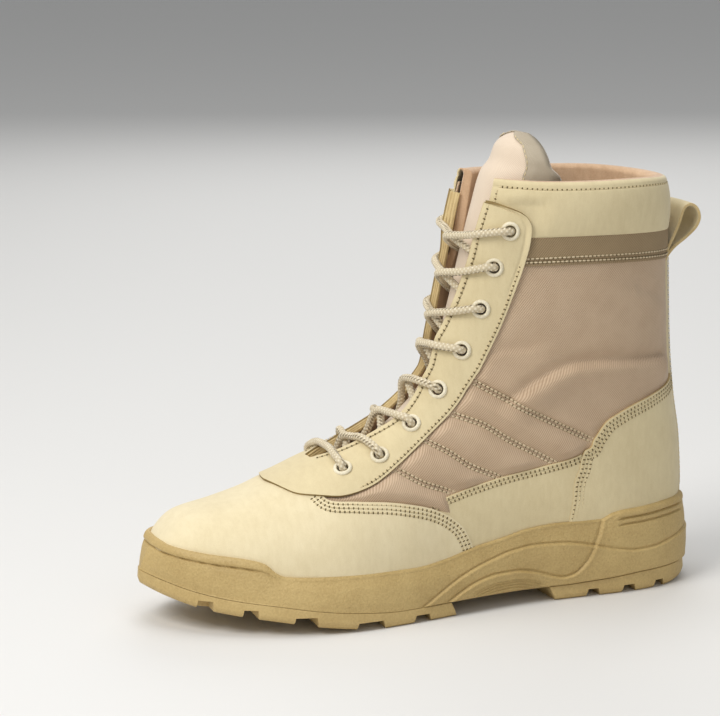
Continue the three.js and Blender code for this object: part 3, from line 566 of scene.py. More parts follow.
# dark colour of the needle-hole dots: painted shade
needleHoleShade = finish("needle_hole_shade", "nap", {"Light": tone(128, 112, 74), "Dark": tone(94, 78, 48)}, 0.1)
eyeletPaint = finish("cream_enamel", "stipple",
                     {"Light": tone(234, 226, 202), "Dark": tone(214, 202, 172), "Grain": 500.0}, 0.08,
                     rough=0.4)
foam = finish("insole_foam", "nap", {"Light": tone(196, 172, 136), "Dark": tone(160, 134, 100),
                                     "Pile": 900.0}, 0.5)
zipMetal = finish("dull_brass", "stipple",
                  {"Light": tone(158, 146, 124), "Dark": tone(120, 108, 88), "Grain": 800.0}, 0.2,
                  metallic=0.9)
zipCloth = finish("zip_tape", "twill", {"Thread": tone(150, 128, 99), "Gap": tone(112, 92, 68),
                                        "Pitch": 1.8}, 0.4, rough=0.8)
# the rest are sand thread
threadLook = {"quilt": (threadPale, (0.92, 0.58, 0.5)), "strip": (threadPale, (0.88, 0.46, 0.4)),
              "zip": (threadPale, (0.9, 0.45, 0.4))}
print("finishes made")


# quarters: quilted nylon on both sides
quilting = {
    "lines": [[(104, 125), (94, 119), (84, 113), (65, 102), (40, 89), (28, 83)],
              [(118, 109), (106, 103), (91, 97), (79, 89), (56, 76), (48, 71)],
              [(131, 96), (121, 90), (112, 85), (99, 76), (86, 70), (78, 65)],
              [(150, 83), (139, 77), (127, 70), (114, 65), (104, 59)]],
    "channelDepth": 1.1, "channelHalf": 2.2, "puff": 3.5, "puffReach": 5.6, "rowGap": 1.05,
}
creases = [  # folds at the ankle: run, depth, bulge under it, reach above
    ([(86, 106), (72, 113.5), (62, 119), (51, 124.5), (38, 127.5), (28, 127.5), (8, 126), (-8, 125),
      (-26, 124), (-40, 123)], 2.05, 3.5, 4.6),
    ([(98, 132), (84, 136), (66, 137)], 0.7, 0.4, 5.0),
    ([(-30, 152), (-14, 157), (0, 163)], 0.7, 0.5, 6.0),
]
throatEdge = {1: lambda u: turnOf(u, 1, throatOutAt(u)), -1: lambda u: turnOf(u, -1, throatInAt(u))}
quiltRuns = [polyline(line, 70) for line in quilting["lines"]]
creaseRuns = [(polyline(run, 60), *sizes) for run, *sizes in creases]


def nearest(points, run):
    dx, dz = (points[:, i][:, None] - run[None, :, c] for i, c in ((0, 0), (2, 1)))
    return np.sqrt(np.min(dx ** 2 + dz ** 2, 1))


def quiltHeight(points):
    closest = np.min([nearest(points, run) for run in quiltRuns], 0)
    x, z = points[:, 0], points[:, 2]
    topLine = np.interp(x, [28, 40, 65, 84, 94, 104], [83, 89, 102, 113, 119, 125])
    below = smoothStep(16, -4, z - topLine) * smoothStep(18, 34, x)
    height = 0.35 + quilting["puff"] * (1 - np.exp(-(closest / quilting["puffReach"]) ** 2)) * below
    channel = quilting["channelDepth"] * np.exp(-(closest / quilting["channelHalf"]) ** 4)
    height = height - channel * smoothStep(14, 24, x)
    for run, depth, bulge, reach in creaseRuns:
        order = np.argsort(run[:, 0])
        away = nearest(points, run) * np.sign(z - np.interp(x, run[order, 0], run[order, 1]))
        fade = smoothStep(run[0, 0], mix(run[0, 0], run[-1, 0], 0.16), x) * smoothStep(-25, -15, x)
        under = mix(-depth, bulge, smoothStep(0, -4.5, away)) * np.exp(-(np.minimum(away + 5, 0) / 9) ** 2)
        height = height + fade * np.where(away >= 0, -depth * np.exp(-(away / reach) ** 2), under)
    return height + 0.25 * np.sin(x * 0.11 + z * 0.07) * np.sin(z * 0.09 - x * 0.05)


def openHoles(mesh, radius=3.9):  # eyelet holes through a panel
    bm = opened(mesh)
    centres = [(Vector(centre * mm), Vector(normal)) for _, _, _, _, centre, normal in eyelets]

    def pierced(face):
        at = face.calc_center_median()
        for centre, normal in centres:
            away = at - centre
            if away.length < 0.012 and (away - normal * away.dot(normal)).length < radius * mm:
                return True
        return False

    bmesh.ops.delete(bm, geom=[f for f in bm.faces if pierced(f)], context="FACES")
    meshFrom(bm, mesh)


eyelets = []
for row, (u, out, inn) in enumerate(eyeletRows):
    for side, offset in ((1, out), (-1, inn)):
        t = float(turnOf(u, side, offset))
        eyelets.append((row, side, u, t, skin(u, side, t), skinNormal(u, side, t)))


# suede overlays
overlay = {"thickness": 1.5, "edgeBevel": 0.3, "topRows": (1.6, 3.7, 5.8)}
vampRear = [(179, 65), (165, 63.5), (140, 61), (122, 56), (113, 51), (106, 44), (102, 36), (100, 27)]
counterEdge = [(-17, 107), (2, 102), (14, 98), (25, 92), (31, 85), (36, 80), (39, 72), (42, 64), (43, 57),
               (45, 42), (46, 34)]
foxingTop = [(38, 78), (44, 76), (61, 73), (85, 69), (114, 62.5), (124, 59.4), (138, 52)]
foxingBottom = [(38, 33), (60, 33), (85, 30), (110, 25.5), (138, 21)]


def withRidge(start, xz, side, count=90):
    # (u, t) from a start on the ridge or seam and on through side points
    u, t = onSide(*np.array(xz, float).T, side)
    rows = np.concatenate([np.array(start, float), np.stack([u, t], 1)])
    places = skin(rows[:, 0], side, rows[:, 1])
    along = distances(places)
    at = np.linspace(0, along[-1], count)
    return np.stack([smoothCurve(list(zip(along, rows[:, c])))(at) for c in (0, 1)], 1)


def bothSides(a, b, first, second):  # b from -1 to 1 is the inner then the outer side; mixes two (u, t) runs
    share = np.abs(b)
    outer = (b >= 0)[:, None]
    one, two = (np.where(outer, *(interpolated(run[s])(share) for s in (1, -1))) for run in (first, second))
    spot = mix(one, two, a[:, None])
    return spot[:, 0], np.where(b >= 0, 1, -1), spot[:, 1]


def edgeSew(group, curve, side, lift, rows, **options):
    # rows of stitches inside a panel's edge, given as (u, t)
    points = skin(curve[:, 0], side, curve[:, 1])
    normals = skinNormal(curve[:, 0], side, curve[:, 1])
    inward = unit(np.cross(np.gradient(points, axis=0), normals))
    for distance in rows:
        sew(group, points + inward * distance + normals * lift, normals, **options)


# vamp over the toes
rearRun = {s: withRidge([(5.62, 1.0), (5.58, 0.9), (5.6, 0.8)], vampRear, s) for s in (1, -1)}
toeRun = {s: np.stack([np.full(90, 0.9), np.linspace(1, 0, 90)], 1) for s in (1, -1)}


def placeVamp(a, b):
    u, side, t = bothSides(a ** 0.9, b * 2 - 1, toeRun, rearRun)
    points = skin(u, side, t)
    lift = 0.25 + 1.45 * smoothStep(3.6, 6.2, u + 2 * smoothStep(0.75, 1, a))
    broad = 0.35 * np.sin(points[:, 0] * 0.06 + 1) * np.sin(points[:, 1] * 0.09)
    return points + skinNormal(u, side, t) * (lift + broad * smoothStep(2.5, 4, u))[:, None]


vamp = newObject("vamp", gridMesh("vamp", 150, 260, placeVamp, facing=awayFromFoot), [suedeVampLit, rawEdge])
thicken(vamp, overlay["thickness"], overlay["edgeBevel"])
for s in (1, -1):
    run = rearRun[s][rearRun[s][:, 1] < 0.68]
    edgeSew("vamp", run, s, 1.75, [s * d for d in overlay["topRows"]], pitch=2.5)


# heel counter round the back
counterTop = {s: withRidge([(17.38, 0.0), (17.36, 0.06)], counterEdge, s) for s in (1, -1)}
counterLow = {s: withRidge([(14.3, 0.0)], [(-26, 40), (-10, 39), (10, 38.5), (25, 36), (45, 33)], s)
              for s in (1, -1)}


def placeCounter(a, b):
    u, side, t = bothSides(a, b * 2 - 1, counterLow, counterTop)
    points = skin(u, side, t)
    lift = 1.5 + 0.5 * np.sin(np.pi * a) * smoothStep(0, 0.3, np.abs(b * 2 - 1))
    return points + skinNormal(u, side, t) * lift[:, None]


counter = newObject("heel_counter", gridMesh("heel_counter", 110, 280, placeCounter, facing=awayFromFoot),
                    [suede, rawEdge])
thicken(counter, overlay["thickness"], overlay["edgeBevel"])
for s in (1, -1):
    edgeSew("counter", counterTop[s][2:], s, 1.75, [-s * d for d in overlay["topRows"]], pitch=2.5)


# foxing between counter and vamp
def foxing(side, name):
    top, low = polyline(foxingTop, 100), polyline(foxingBottom, 100)

    def place(a, b):
        xz = mix(interpolated(low)(a), interpolated(top)(a), b[:, None])
        u, t = onSide(xz[:, 0], xz[:, 1], side)
        return lifted(u, side, t, 0.95 + 0.3 * np.sin(np.pi * b) - 0.7 * smoothStep(114, 124, xz[:, 0]))

    obj = newObject(name, gridMesh(name, 110, 50, place, facing=awayFromFoot), [suede, rawEdge])
    thicken(obj, 1.2, overlay["edgeBevel"])
    for distance in (-1.5, -3.4):
        sewOnSide("foxing", sideways(top, distance), side, 1.2, pitch=2.5)


foxing(1, "foxing_outer")
foxing(-1, "foxing_inner")


# eyestays: one U-shaped panel round the throat
stayFront = [(4.93, 1.0), (4.97, 0.93), (5.2, 0.749), (5.62, 0.65)]
stayTop = [(20.04, 0.687), (20.18, 0.727), (20.29, 0.826)]
stayRear = {1: [(171, 66), (156, 70), (138, 80), (120, 93), (105, 106), (95, 120), (86, 137), (80, 150),
                (74, 166), (68.5, 182), (66, 193), (65.3, 200)]}
innerSpots = [skin(np.float64(u), -1, turnOf(u, -1, inn) - 0.1) for u, _, inn in eyeletRows[1:7]]
stayRear[-1] = [(171, 66), (158, 69.5)] + [(float(p[0]), float(p[2])) for p in innerSpots] + [(66, 193),
        (65.3, 200)]
stayEdge = {}
for s in (1, -1):
    u, t = onSide(*polyline(stayRear[s], 70).T, s)
    stayEdge[s] = stayFront + list(zip(u, t)) + stayTop


def evenRun(rows, side, count=200):
    rows = np.array(rows, float)
    places = skin(rows[:, 0], side, rows[:, 1])
    along = distances(places)
    fine = np.linspace(0, along[-1], count)
    return np.stack([smoothCurve(list(zip(along, rows[:, c])))(fine) for c in (0, 1)], 1)


throatUs = np.concatenate([[throatFrom], np.linspace(5.92, 20.31, 60)])
throatRun = {s: evenRun([(throatFrom, 1.0)] + [(u, float(throatEdge[s](u))) for u in throatUs], s)
             for s in (1, -1)}
stayRun = {s: evenRun(stayEdge[s], s) for s in (1, -1)}


def nylonField(side):  # the outline of a side's visible nylon, as (x, z) points
    run = stayRun[side]
    stay = [(p[0], p[2]) for p, u in zip(skin(run[:, 0], side, run[:, 1]), run[:, 0]) if 5.66 < u < 18.9][::4]
    vampPart = list(polyline(vampRear[:5], 30))
    foxingPart = list(polyline(foxingTop[1:5], 30))[::-1]
    counterPart = list(polyline(counterEdge[:6], 30))[::-1]
    return np.array(vampPart + foxingPart + counterPart + [(-45, 110), (-45, 190)] + stay[::-1])


def insideBy(points, outline):  # distance inside an outline, negative outside it
    x, z = points[:, 0][:, None], points[:, 2][:, None]
    ax, az = outline[:, 0][None], outline[:, 1][None]
    bx, bz = np.roll(outline[:, 0], -1)[None], np.roll(outline[:, 1], -1)[None]
    share = np.clip(((x - ax) * (bx - ax) + (z - az) * (bz - az))
                    / np.maximum((bx - ax) ** 2 + (bz - az) ** 2, 1e-9), 0, 1)
    away = np.sqrt(np.min((ax + share * (bx - ax) - x) ** 2 + (az + share * (bz - az) - z) ** 2, 1))
    crossing = ((az > z) != (bz > z)) & (x < (bx - ax) * (z - az) / np.where(bz == az, 1e-9, bz - az) + ax)
    return np.where(crossing.sum(1) % 2 == 1, away, -away)


# x of the zip by height
zipXAt = smoothCurve([(60, 72.5), (70, 71), (100, 68), (134, 64), (170, 57), (190, 52.5), (230, 45)])


def quarter(side, name):
    field = nylonField(side)

    def place(a, b):
        u = mix(4.9, 20.6, a)
        t = b * (throatEdge[side](np.maximum(u, throatFrom)) - 0.006)
        t = np.where(u < throatFrom, b * 0.97, t)
        points = skin(u, side, t)
        height = quiltHeight(points) * smoothStep(-1.0, 5.0, insideBy(points, field))
        if side < 0:
            height = height * smoothStep(9, 16, np.abs(points[:, 0] - zipXAt(points[:, 2])))
        return points + skinNormal(u, side, t) * height[:, None]

    mesh = gridMesh(name, 250, 150, place, facing=awayFromFoot)
    openHoles(mesh)
    obj = newObject(name, mesh, [nylon])
    thicken(obj, 0.9, edge=0, rim=0)
    for run in quiltRuns:
        for shift in (-quilting["rowGap"], quilting["rowGap"]):
            u, t = onSide(*sideways(run, shift).T, side)
            rise = quiltHeight(skin(u, side, t)) + 0.4
            sew("quilt", lifted(u, side, t, rise), skinNormal(u, side, t), pitch=2.4)
    return obj


quarterOuter = quarter(1, "quarter_outer")
quarter(-1, "quarter_inner")
print("quarters made")


def stayLift(u):
    return 1.55 + 1.35 * smoothStep(6.7, 5.7, u) + 2.0 * smoothStep(18.6, 19.5, u)


def placeStay(a, b):
    u, side, t = bothSides(a, b * 2 - 1, throatRun, stayRun)
    dent = 0.45 * np.exp(-((a - 0.5) / 0.3) ** 2)
    inside = (1 - a) * 25
    bead = 0.45 * np.exp(-(inside / 0.9) ** 2) - 0.5 * np.exp(-((inside - 2.1) / 0.6) ** 2)
    shaped = dent * smoothStep(0.0, 0.2, np.abs(b * 2 - 1)) + bead * smoothStep(17.6, 18.6, u)
    return lifted(u, side, t, stayLift(u) + shaped)


stayMesh = gridMesh("eyestays", 60, 600, placeStay, facing=awayFromFoot)
openHoles(stayMesh)
eyestays = newObject("eyestays", stayMesh, [suede, darkEdge])
thicken(eyestays, 1.5, overlay["edgeBevel"])
for s in (1, -1):
    edgeSew("eyestay", stayRun[s][4:-4], s, 1.75, [-s * 1.7], pitch=2.6)
    inset = np.array([(u, t) for u, t in throatRun[s] if u > 6.02])
    points = skin(inset[:, 0], s, inset[:, 1])
    normals = skinNormal(inset[:, 0], s, inset[:, 1])
    inward = unit(np.cross(np.gradient(points, axis=0), normals) * s)
    sew("eyestay", points + inward * 3.0 + normals * (stayLift(inset[:, 0]) + 0.4)[:, None], normals,
        pitch=2.7)


# the flap edges, a layered raw edge from the eyestay down to the lining
def flapEdge(side, name):
    def place(a, b):
        run = interpolated(throatRun[side])(a)
        u, t = run[:, 0], run[:, 1]
        points, normals = skin(u, side, t), skinNormal(u, side, t)
        depth = mix(stayLift(u) - 1.3, -2.9, b)
        layers = 0.22 * np.sin(b * np.pi * 6)
        ahead = unit(skin(u, side, np.minimum(t + 0.01, 1)) - points)
        return points + normals * depth[:, None] + ahead * (0.1 + layers)[:, None]

    obj = newObject(name, gridMesh(name, 300, 18, place), [rawEdge])
    thicken(obj, 1.0, edge=0, rim=0, offset=0)


flapEdge(1, "flap_edge_outer")
flapEdge(-1, "flap_edge_inner")
print("overlays made")


# collar, its nylon strip and the lining
collar = {"bandLow": (190.5, 194.3), "stripLow": (175.5, 179.8), "frontDip": 0.17, "puff": 2.4,
          "edgeLift": 1.5, "roll": 3.0, "padding": 6.6, "liningTo": 17.6, "seam": 0.955}


def levelU(side, t, height, low=14.0):  # the section where the skin has this height
    lo, hi = np.full(t.shape, low), np.full(t.shape, float(collarU))
    for _ in range(28):
        mid = (lo + hi) / 2
        under = skin(mid, side, t)[:, 2] < height
        lo, hi = np.where(under, mid, lo), np.where(under, hi, mid)
    return (lo + hi) / 2


def heightAt(key, t):  # the collar's lines fall towards the back
    return mix(*collar[key], smoothStep(0, 0.6, t))


collarEnd = {1: float(throatEdge[1](21.0)), -1: float(throatEdge[-1](21.0))}
splitT = float(onSide(48.5, 212.0, -1)[1][0])


def collarPiece(name, fromT, toT, taper):  # signed turns: the outer side is positive
    def place(a, b):
        w = mix(fromT, toT, b)
        side, t = np.where(w >= 0, 1, -1), np.abs(w)
        low = np.where(w >= 0, *(levelU(s, t, heightAt("bandLow", t)) for s in (1, -1)))
        topU = collarU - collar["frontDip"] * smoothStep(0.25, 0.7, t)
        ends = 1 - taper[0] * smoothStep(0.07, 0.0, b) - taper[1] * smoothStep(0.93, 1.0, b)
        pad = mix(2.6, collar["padding"], ends)
        outside, roll = 0.46, 0.64
        climb = np.clip(a / outside, 0, 1)
        turn = np.clip((a - outside) / (roll - outside), 0, 1) * np.pi
        down = np.clip((a - roll) / (1 - roll), 0, 1)
        u = np.where(a <= outside, mix(low, topU, climb), mix(topU, collar["liningTo"], down))
        underStay = smoothStep(0.6, 0.68, t) * smoothStep(0.85, 0.6, climb)
        puff = collar["puff"] * ends * (1 - underStay) * mix(0.45, 1, smoothStep(0, 0.25, t))
        lift = collar["edgeLift"] * smoothStep(-0.02, 0.03, climb) + puff * np.sin(np.pi * climb) ** 0.7
        lift = lift - 0.4 * np.exp(-((climb - collar["seam"]) / 0.018) ** 2)
        half = (pad + collar["edgeLift"]) / 2
        height = np.where(a <= outside, lift, collar["edgeLift"] - half * (1 - np.cos(turn)))
        padded = mix(-pad, -2.7, smoothStep(0.35, 1, down)) - 1.1 * ends * np.sin(np.pi * down)
        height = np.where(a > roll, padded, height)
        top = sectionAt(np.float64(collarU))
        up = np.array([-top["dirZ"], 0, top["dirX"]])
        rise = np.where((a > outside) & (a <= roll), np.sin(turn) * collar["roll"], 0)
        return lifted(u, side, t, height) + up * rise[:, None]

    mesh = gridMesh(name, 120, int(240 * (toT - fromT)) + 20, place)
    suedeRows = 0.52
    obj = newObject(name, mesh, [suede, liningCloth])
    layer = mesh.uv_layers[0].data
    inside = [1 if layer[p.loop_start].uv[0] > suedeRows else 0 for p in mesh.polygons]
    mesh.polygons.foreach_set("material_index", inside)
    bm = opened(mesh)
    middle = Vector((0.035, 0, 0.2))
    outward = sum((f.normal.dot(f.calc_center_median() - middle) for f in bm.faces if f.material_index == 0))
    if outward < 0:
        bmesh.ops.reverse_faces(bm, faces=bm.faces)
    meshFrom(bm, mesh)
    thicken(obj, 0.9, edge=0, rim=0)


collarPiece("collar_band", -splitT + 0.012, collarEnd[1], (0.75, 1.0))
collarPiece("collar_front_inner", -collarEnd[-1], -splitT - 0.012, (1.0, 0.75))
for side, far in ((1, collarEnd[1]), (-1, splitT)):
    ts = np.linspace(0.0, far - 0.02, 160)
    topU = collarU - collar["frontDip"] * smoothStep(0.25, 0.7, ts)
    rim = mix(levelU(side, ts, heightAt("bandLow", ts)), topU, collar["seam"])
    rise = 1.35 + 0.6 * smoothStep(far, far - 0.07, ts) * mix(0.55, 1, smoothStep(0, 0.25, ts))
    sew("collar", lifted(rim, side, ts, rise), skinNormal(rim, side, ts), pitch=2.6)
    front = np.linspace(19.6, 20.7, 60)
    sewOnTurn("collar", front, side, np.full(60, far - 0.022), 1.75, pitch=2.6)
    low = levelU(side, ts, heightAt("stripLow", ts) + 2)
    for rise in (0.0, 0.09):
        sewOnTurn("strip", low + rise, side, ts, 1.45, pitch=2.4)


def nylonStrip(name, fromT, toT):
    def place(a, b):
        w = mix(fromT, toT, b)
        side, t = np.where(w >= 0, 1, -1), np.abs(w)
        low = np.where(w >= 0, *(levelU(s, t, heightAt("stripLow", t)) for s in (1, -1)))
        high = np.where(w >= 0, *(levelU(s, t, 197.0) for s in (1, -1)))
        rise = 1.2 - 0.5 * np.exp(-((a - 0.14) / 0.1) ** 2) + 0.5 * np.sin(np.pi * a)
        return lifted(mix(low, high, a), side, t, rise)

    obj = newObject(name, gridMesh(name, 26, 240, place, facing=awayFromFoot), [nylonDark])
    thicken(obj, 0.8, 0.2, rim=0)


nylonStrip("collar_strip", -0.69, 0.7)


liningInset = {"sides": 2.7, "back": 2.7, "front": 2.7, "toe": 2}


def placeLining(a, b):
    u = mix(1.5, 18.6, a)
    w = b * 2 - 1
    side = np.where(w >= 0, 1, -1)
    flap = np.where(w >= 0, *(throatEdge[s](np.maximum(u, throatFrom)) for s in (1, -1)))
    t = np.abs(w) * np.where(u < throatFrom, 1.0, flap)
    return skin(u, side, t, **liningInset)


liningMesh = gridMesh("lining", 150, 160, placeLining, facing=lambda c: -awayFromFoot(c))
openHoles(liningMesh)
lining = newObject("lining", liningMesh, [liningCloth])
thicken(lining, 0.5, edge=0, rim=0)


# backstay
def placeBackstay(a, b):
    w = (b * 2 - 1) * 0.062
    top = levelU(1, np.zeros(len(a)), 177.0)
    u = mix(14.3, top, a)
    flank = mix(1.8, 0.5, smoothStep(17.0, 17.5, u))
    return lifted(u, np.where(w >= 0, 1, -1), np.abs(w), mix(3.3, flank, np.abs(b * 2 - 1) ** 3))


backstay = newObject("backstay", gridMesh("backstay", 160, 24, placeBackstay, facing=awayFromFoot),
                     [suede, rawEdge])
thicken(backstay, 1.2, 0.3)
for side in (1, -1):
    us = np.linspace(14.8, 19.3, 220)
    sewOnTurn("backstay", us, side, np.full(220, 0.045), 2.75, pitch=2.6)
print("collar and lining made")


def chain(points, count):  # a centripetal Catmull-Rom run through points of any dimension
    p = np.array(points, float)
    p = np.concatenate([[2 * p[0] - p[1]], p, [2 * p[-1] - p[-2]]])
    knots = np.concatenate([[0], np.cumsum(np.sqrt(np.linalg.norm(np.diff(p, axis=0), axis=1)))])
    fine = []
    for i in range(1, len(p) - 2):
        t0, t1, t2, t3 = knots[i - 1:i + 3]
        t = np.linspace(t1, t2, 24, endpoint=False)[:, None]
        a1 = (t1 - t) / (t1 - t0) * p[i - 1] + (t - t0) / (t1 - t0) * p[i]
        a2 = (t2 - t) / (t2 - t1) * p[i] + (t - t1) / (t2 - t1) * p[i + 1]
        a3 = (t3 - t) / (t3 - t2) * p[i + 1] + (t - t2) / (t3 - t2) * p[i + 2]
        b1 = (t2 - t) / (t2 - t0) * a1 + (t - t0) / (t2 - t0) * a2
        b2 = (t3 - t) / (t3 - t1) * a2 + (t - t1) / (t3 - t1) * a3
        fine.append((t2 - t) / (t2 - t1) * b1 + (t - t1) / (t2 - t1) * b2)
    fine = np.concatenate(fine + [p[-2][None]])
    along = distances(fine)
    at = np.linspace(0, along[-1], count)
    return np.stack([np.interp(at, along, fine[:, c]) for c in range(p.shape[1])], 1)


pullLoop = {"path": [(-24.0, 172), (-25.6, 175), (-27.8, 181), (-30.2, 189), (-32.6, 197.5), (-34.8, 201.8),
                     (-38.2, 202.9),
                     (-41.8, 200.6), (-43.4, 195.8), (-42.0, 190.8), (-37.2, 185.6), (-31.4, 180.8),
                     (-27.6, 176.4), (-25.0, 172)],
            "halfWidth": 12.5, "thickness": 1.6, "heelRadius": 27}
loopRun = chain(pullLoop["path"], 220)


def placeLoop(a, b):
    xz = interpolated(loopRun)(a)
    cup = 0.5 * (1 - (b * 2 - 1) ** 2) * smoothStep(0.1, 0.3, a) * smoothStep(1, 0.8, a)
    y = (b * 2 - 1) * pullLoop["halfWidth"] * mix(0.8, 1.0, smoothStep(172, 186, xz[:, 1]))
    wrap = 0.5 * y ** 2 / pullLoop["heelRadius"] * smoothStep(196, 178, xz[:, 1])
    return np.stack([xz[:, 0] - cup * 0.6 + wrap, y, xz[:, 1] + cup * 0.3], 1)


loop = newObject("pull_loop_strap", gridMesh("pull_loop_strap", 220, 22, placeLoop), [suede, rawEdge])
thicken(loop, pullLoop["thickness"], 0.3, offset=0)
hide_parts("pull_loop")


# zip on the inner side
zipPart = {"low": 71.0, "shut": 186.0, "top": 222.0,
           "tapeHalf": 7.0, "toothPitch": 2.1, "lipWidth": 8.5, "lipGap": 2.6,
           "strapEnds": (-40, 14), "footHalf": 13}


def zipBand(name, fromX, toX, lowZ, highZ, lift, materials, slotName, thickness, rows=120):
    def place(a, b):
        z = mix(lowZ, highZ, a)
        x = zipXAt(z) + mix(fromX, toX, b) * mix(1, 0.55, smoothStep(200, 208, z))
        u, t = onSide(x, z, -1)
        return lifted(u, -1, t, lift(z, b))

    obj = newObject(name, gridMesh(name, rows, 20, place, facing=awayFromFoot), materials)
    thicken(obj, thickness, 0.25)
    return obj


def zipRow(group, offset, lowZ, highZ, height, **options):
    z = np.linspace(lowZ, highZ, 120)
    sewOnSide(group, np.stack([zipXAt(z) + offset, z], 1), -1, height, **options)


zipTape = zipBand("zip_tape", -zipPart["tapeHalf"], zipPart["tapeHalf"], zipPart["low"], zipPart["top"],
                  lambda z, b: 0.7 + 0 * z, [zipCloth], "zip_tape", 0.6)
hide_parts("zip")
lipRise = lambda z, b: 2.6 - 1.0 * np.abs(b * 2 - 1) ** 2
lipEnds = (zipPart["lipGap"], zipPart["lipGap"] + zipPart["lipWidth"])
zipBand("zip_lip_front", *lipEnds, zipPart["low"] + 2, 196, lipRise, [nylon, nylonDark], "tongue_nylon", 1.0)
zipBand("zip_lip_rear", -lipEnds[1], -lipEnds[0], zipPart["low"] + 2, 196, lipRise, [suedeTan, rawEdge],
        "suede", 1.3)
for away in (4.6, 9.4):
    zipRow("zip", away, 78, 180, 2.75, pitch=2.4)
for away in (-4.6, -9.0):
    zipRow("counter", away, 78, 180, 2.7, pitch=2.6)


def bentBox(bm, centre, size, turn):
    place = Matrix.Translation(Vector(centre * mm)) @ turn @ Matrix.Diagonal((*(v * mm for v in size), 1))
    made = bmesh.ops.create_cube(bm, size=1.0, matrix=place)
    edges = list({e for v in made["verts"] for e in v.link_edges})
    bmesh.ops.bevel(bm, geom=edges, offset=0.2 * mm, segments=1, affect="EDGES")


def zipTeeth():
    bm = bmesh.new()
    zs = np.arange(zipPart["low"] + 6, zipPart["shut"] - 4, zipPart["toothPitch"] / 2)
    u, t = onSide(zipXAt(zs), zs, -1)
    places, normals = lifted(u, -1, t, 1.5 + 0 * zs), skinNormal(u, -1, t)
    steps = np.gradient(places, axis=0)
    for i, (place, normal, step) in enumerate(zip(places, normals, steps)):
        turn = basis(step, normal)
        shift = np.array(turn @ Vector((0, 0.75 if i % 2 else -0.75, 0)))
        bentBox(bm, place + shift, (1.25, 2.6, 1.5), turn)
    return newObject("zip_teeth", meshFrom(bm, "zip_teeth"), [zipMetal])


zipTeeth()


def strapRise(z, b):  # arched over the slider, flat where it is sewn behind it
    x = mix(*zipPart["strapEnds"], b)
    arch = 6.4 * np.exp(-((x / 9.0) ** 4)) + 3.4 * smoothStep(-16, -12, x) * smoothStep(14, 11, x)
    return arch + 2.6 * smoothStep(-12, -16, x) + 1.2 * smoothStep(10, 14, x)


def footRise(x):
    return 3.7 - 1.6 * np.abs(x / zipPart["footHalf"]) ** 4


footHalf = zipPart["footHalf"]
zipBand("zip_foot_patch", -footHalf, footHalf, 66, 80, lambda z, b: footRise((b * 2 - 1) * footHalf),
        [suede, rawEdge], "suede", 1.5, rows=40)
strap = zipBand("zip_strap_suede", *zipPart["strapEnds"], 181, 198, strapRise, [suede, rawEdge], "suede",
                1.6, rows=60)
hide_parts("zip_strap")


def patchSeam(x, z, rise):
    x, z = np.broadcast_arrays(np.asarray(x, float), z)
    u, t = onSide(zipXAt(z) + x, z, -1)
    sew("zip_patch", lifted(u, -1, t, rise(x)), skinNormal(u, -1, t), pitch=2.6)


for low, high, left, right, rise in (
        (182.8, 196.2, -38, -17, lambda x: np.full(len(x), 2.75)),
        (67.8, 78.2, -11.4, 11.4, lambda x: footRise(x) + 0.1)):
    for z in (low, high):
        patchSeam(np.linspace(left, right, 60), z, rise)
    for x in (left, right):
        patchSeam(x, np.linspace(low, high, 40), rise)
print("zip made")


# tongue
tongue = {"thickness": 4.6, "bindingFrom": 0.66,
          "bindingWidth": ((0.66, 0.8, 0.9, 0.96, 1.0), (0.055, 0.06, 0.075, 0.11, 0.4)),
          "half": [(5.5, 15), (7, 21), (9, 24), (13, 25), (17, 25), (21, 24.5)],
          "drop": [(5.5, 4), (6.2, 8.9), (9, 8.9), (12, 10.1), (18, 9.7), (21, 12.5)],
          "top": [(72, 232, 52.5, 230.5, 24), (69, 239.5, 53.5, 237.5, 20.5),
                  (64, 243.9, 54.5, 242.6, 14.5), (59.5, 245.8, 56, 245.3, 7)]}
tongueHalfAt, tongueDropAt = smoothCurve(tongue["half"]), smoothCurve(tongue["drop"])
acrossShares = np.linspace(0, 1, 61)


def tongueRow(u, deeper):
    half = float(tongueHalfAt(u))
    y = mix(-half, half, acrossShares)
    sides = mix(7.6, 9.2, float(np.clip((u - 15) / 4, 0, 1))) + deeper * 0.8
    section = sectionAt(np.float64(u), sides=sides, back=sides, front=float(tongueDropAt(u)) + deeper)
    side = np.where(y >= 0, 1, -1)
    share = np.clip(np.abs(y) / pick(section["half"], side), 0, 1)
    return pointAt(section, side, np.pi - np.arcsin(share ** (1 / section["power"])))


def tongueTopRow(frontX, frontZ, wingX, wingZ, half, deeper):
    y = mix(-half, half, acrossShares)
    bow = np.sqrt(np.maximum(1 - (y / half) ** 2, 0)) ** 1.3
    return np.stack([mix(wingX, frontX, bow) - deeper * 0.85, y, mix(wingZ, frontZ, bow) - deeper * 0.25], 1)


tongueUs = [5.55, 6, 6.5, 7, 7.5, 8, 9, 10, 12, 14, 15, 16, 17, 18, 19, 20, 21]


def tongueTable(deeper):
    rows = [tongueRow(u, deeper * min(max((u - 4.8) / 1.6, 0.4), 1)) for u in tongueUs]
    rows += [tongueTopRow(*row, deeper * k) for row, k in zip(tongue["top"], (0.95, 0.85, 0.7, 0.5))]
    columns = np.array(rows)
    steps = distances(columns[:, 30])
    fine = np.linspace(0, steps[-1], 241)
    curves = [[smoothCurve(list(zip(steps, columns[:, j, c])))(fine) for c in range(3)] for j in range(61)]
    return np.stack([np.stack(curve, 1) for curve in curves], 1)


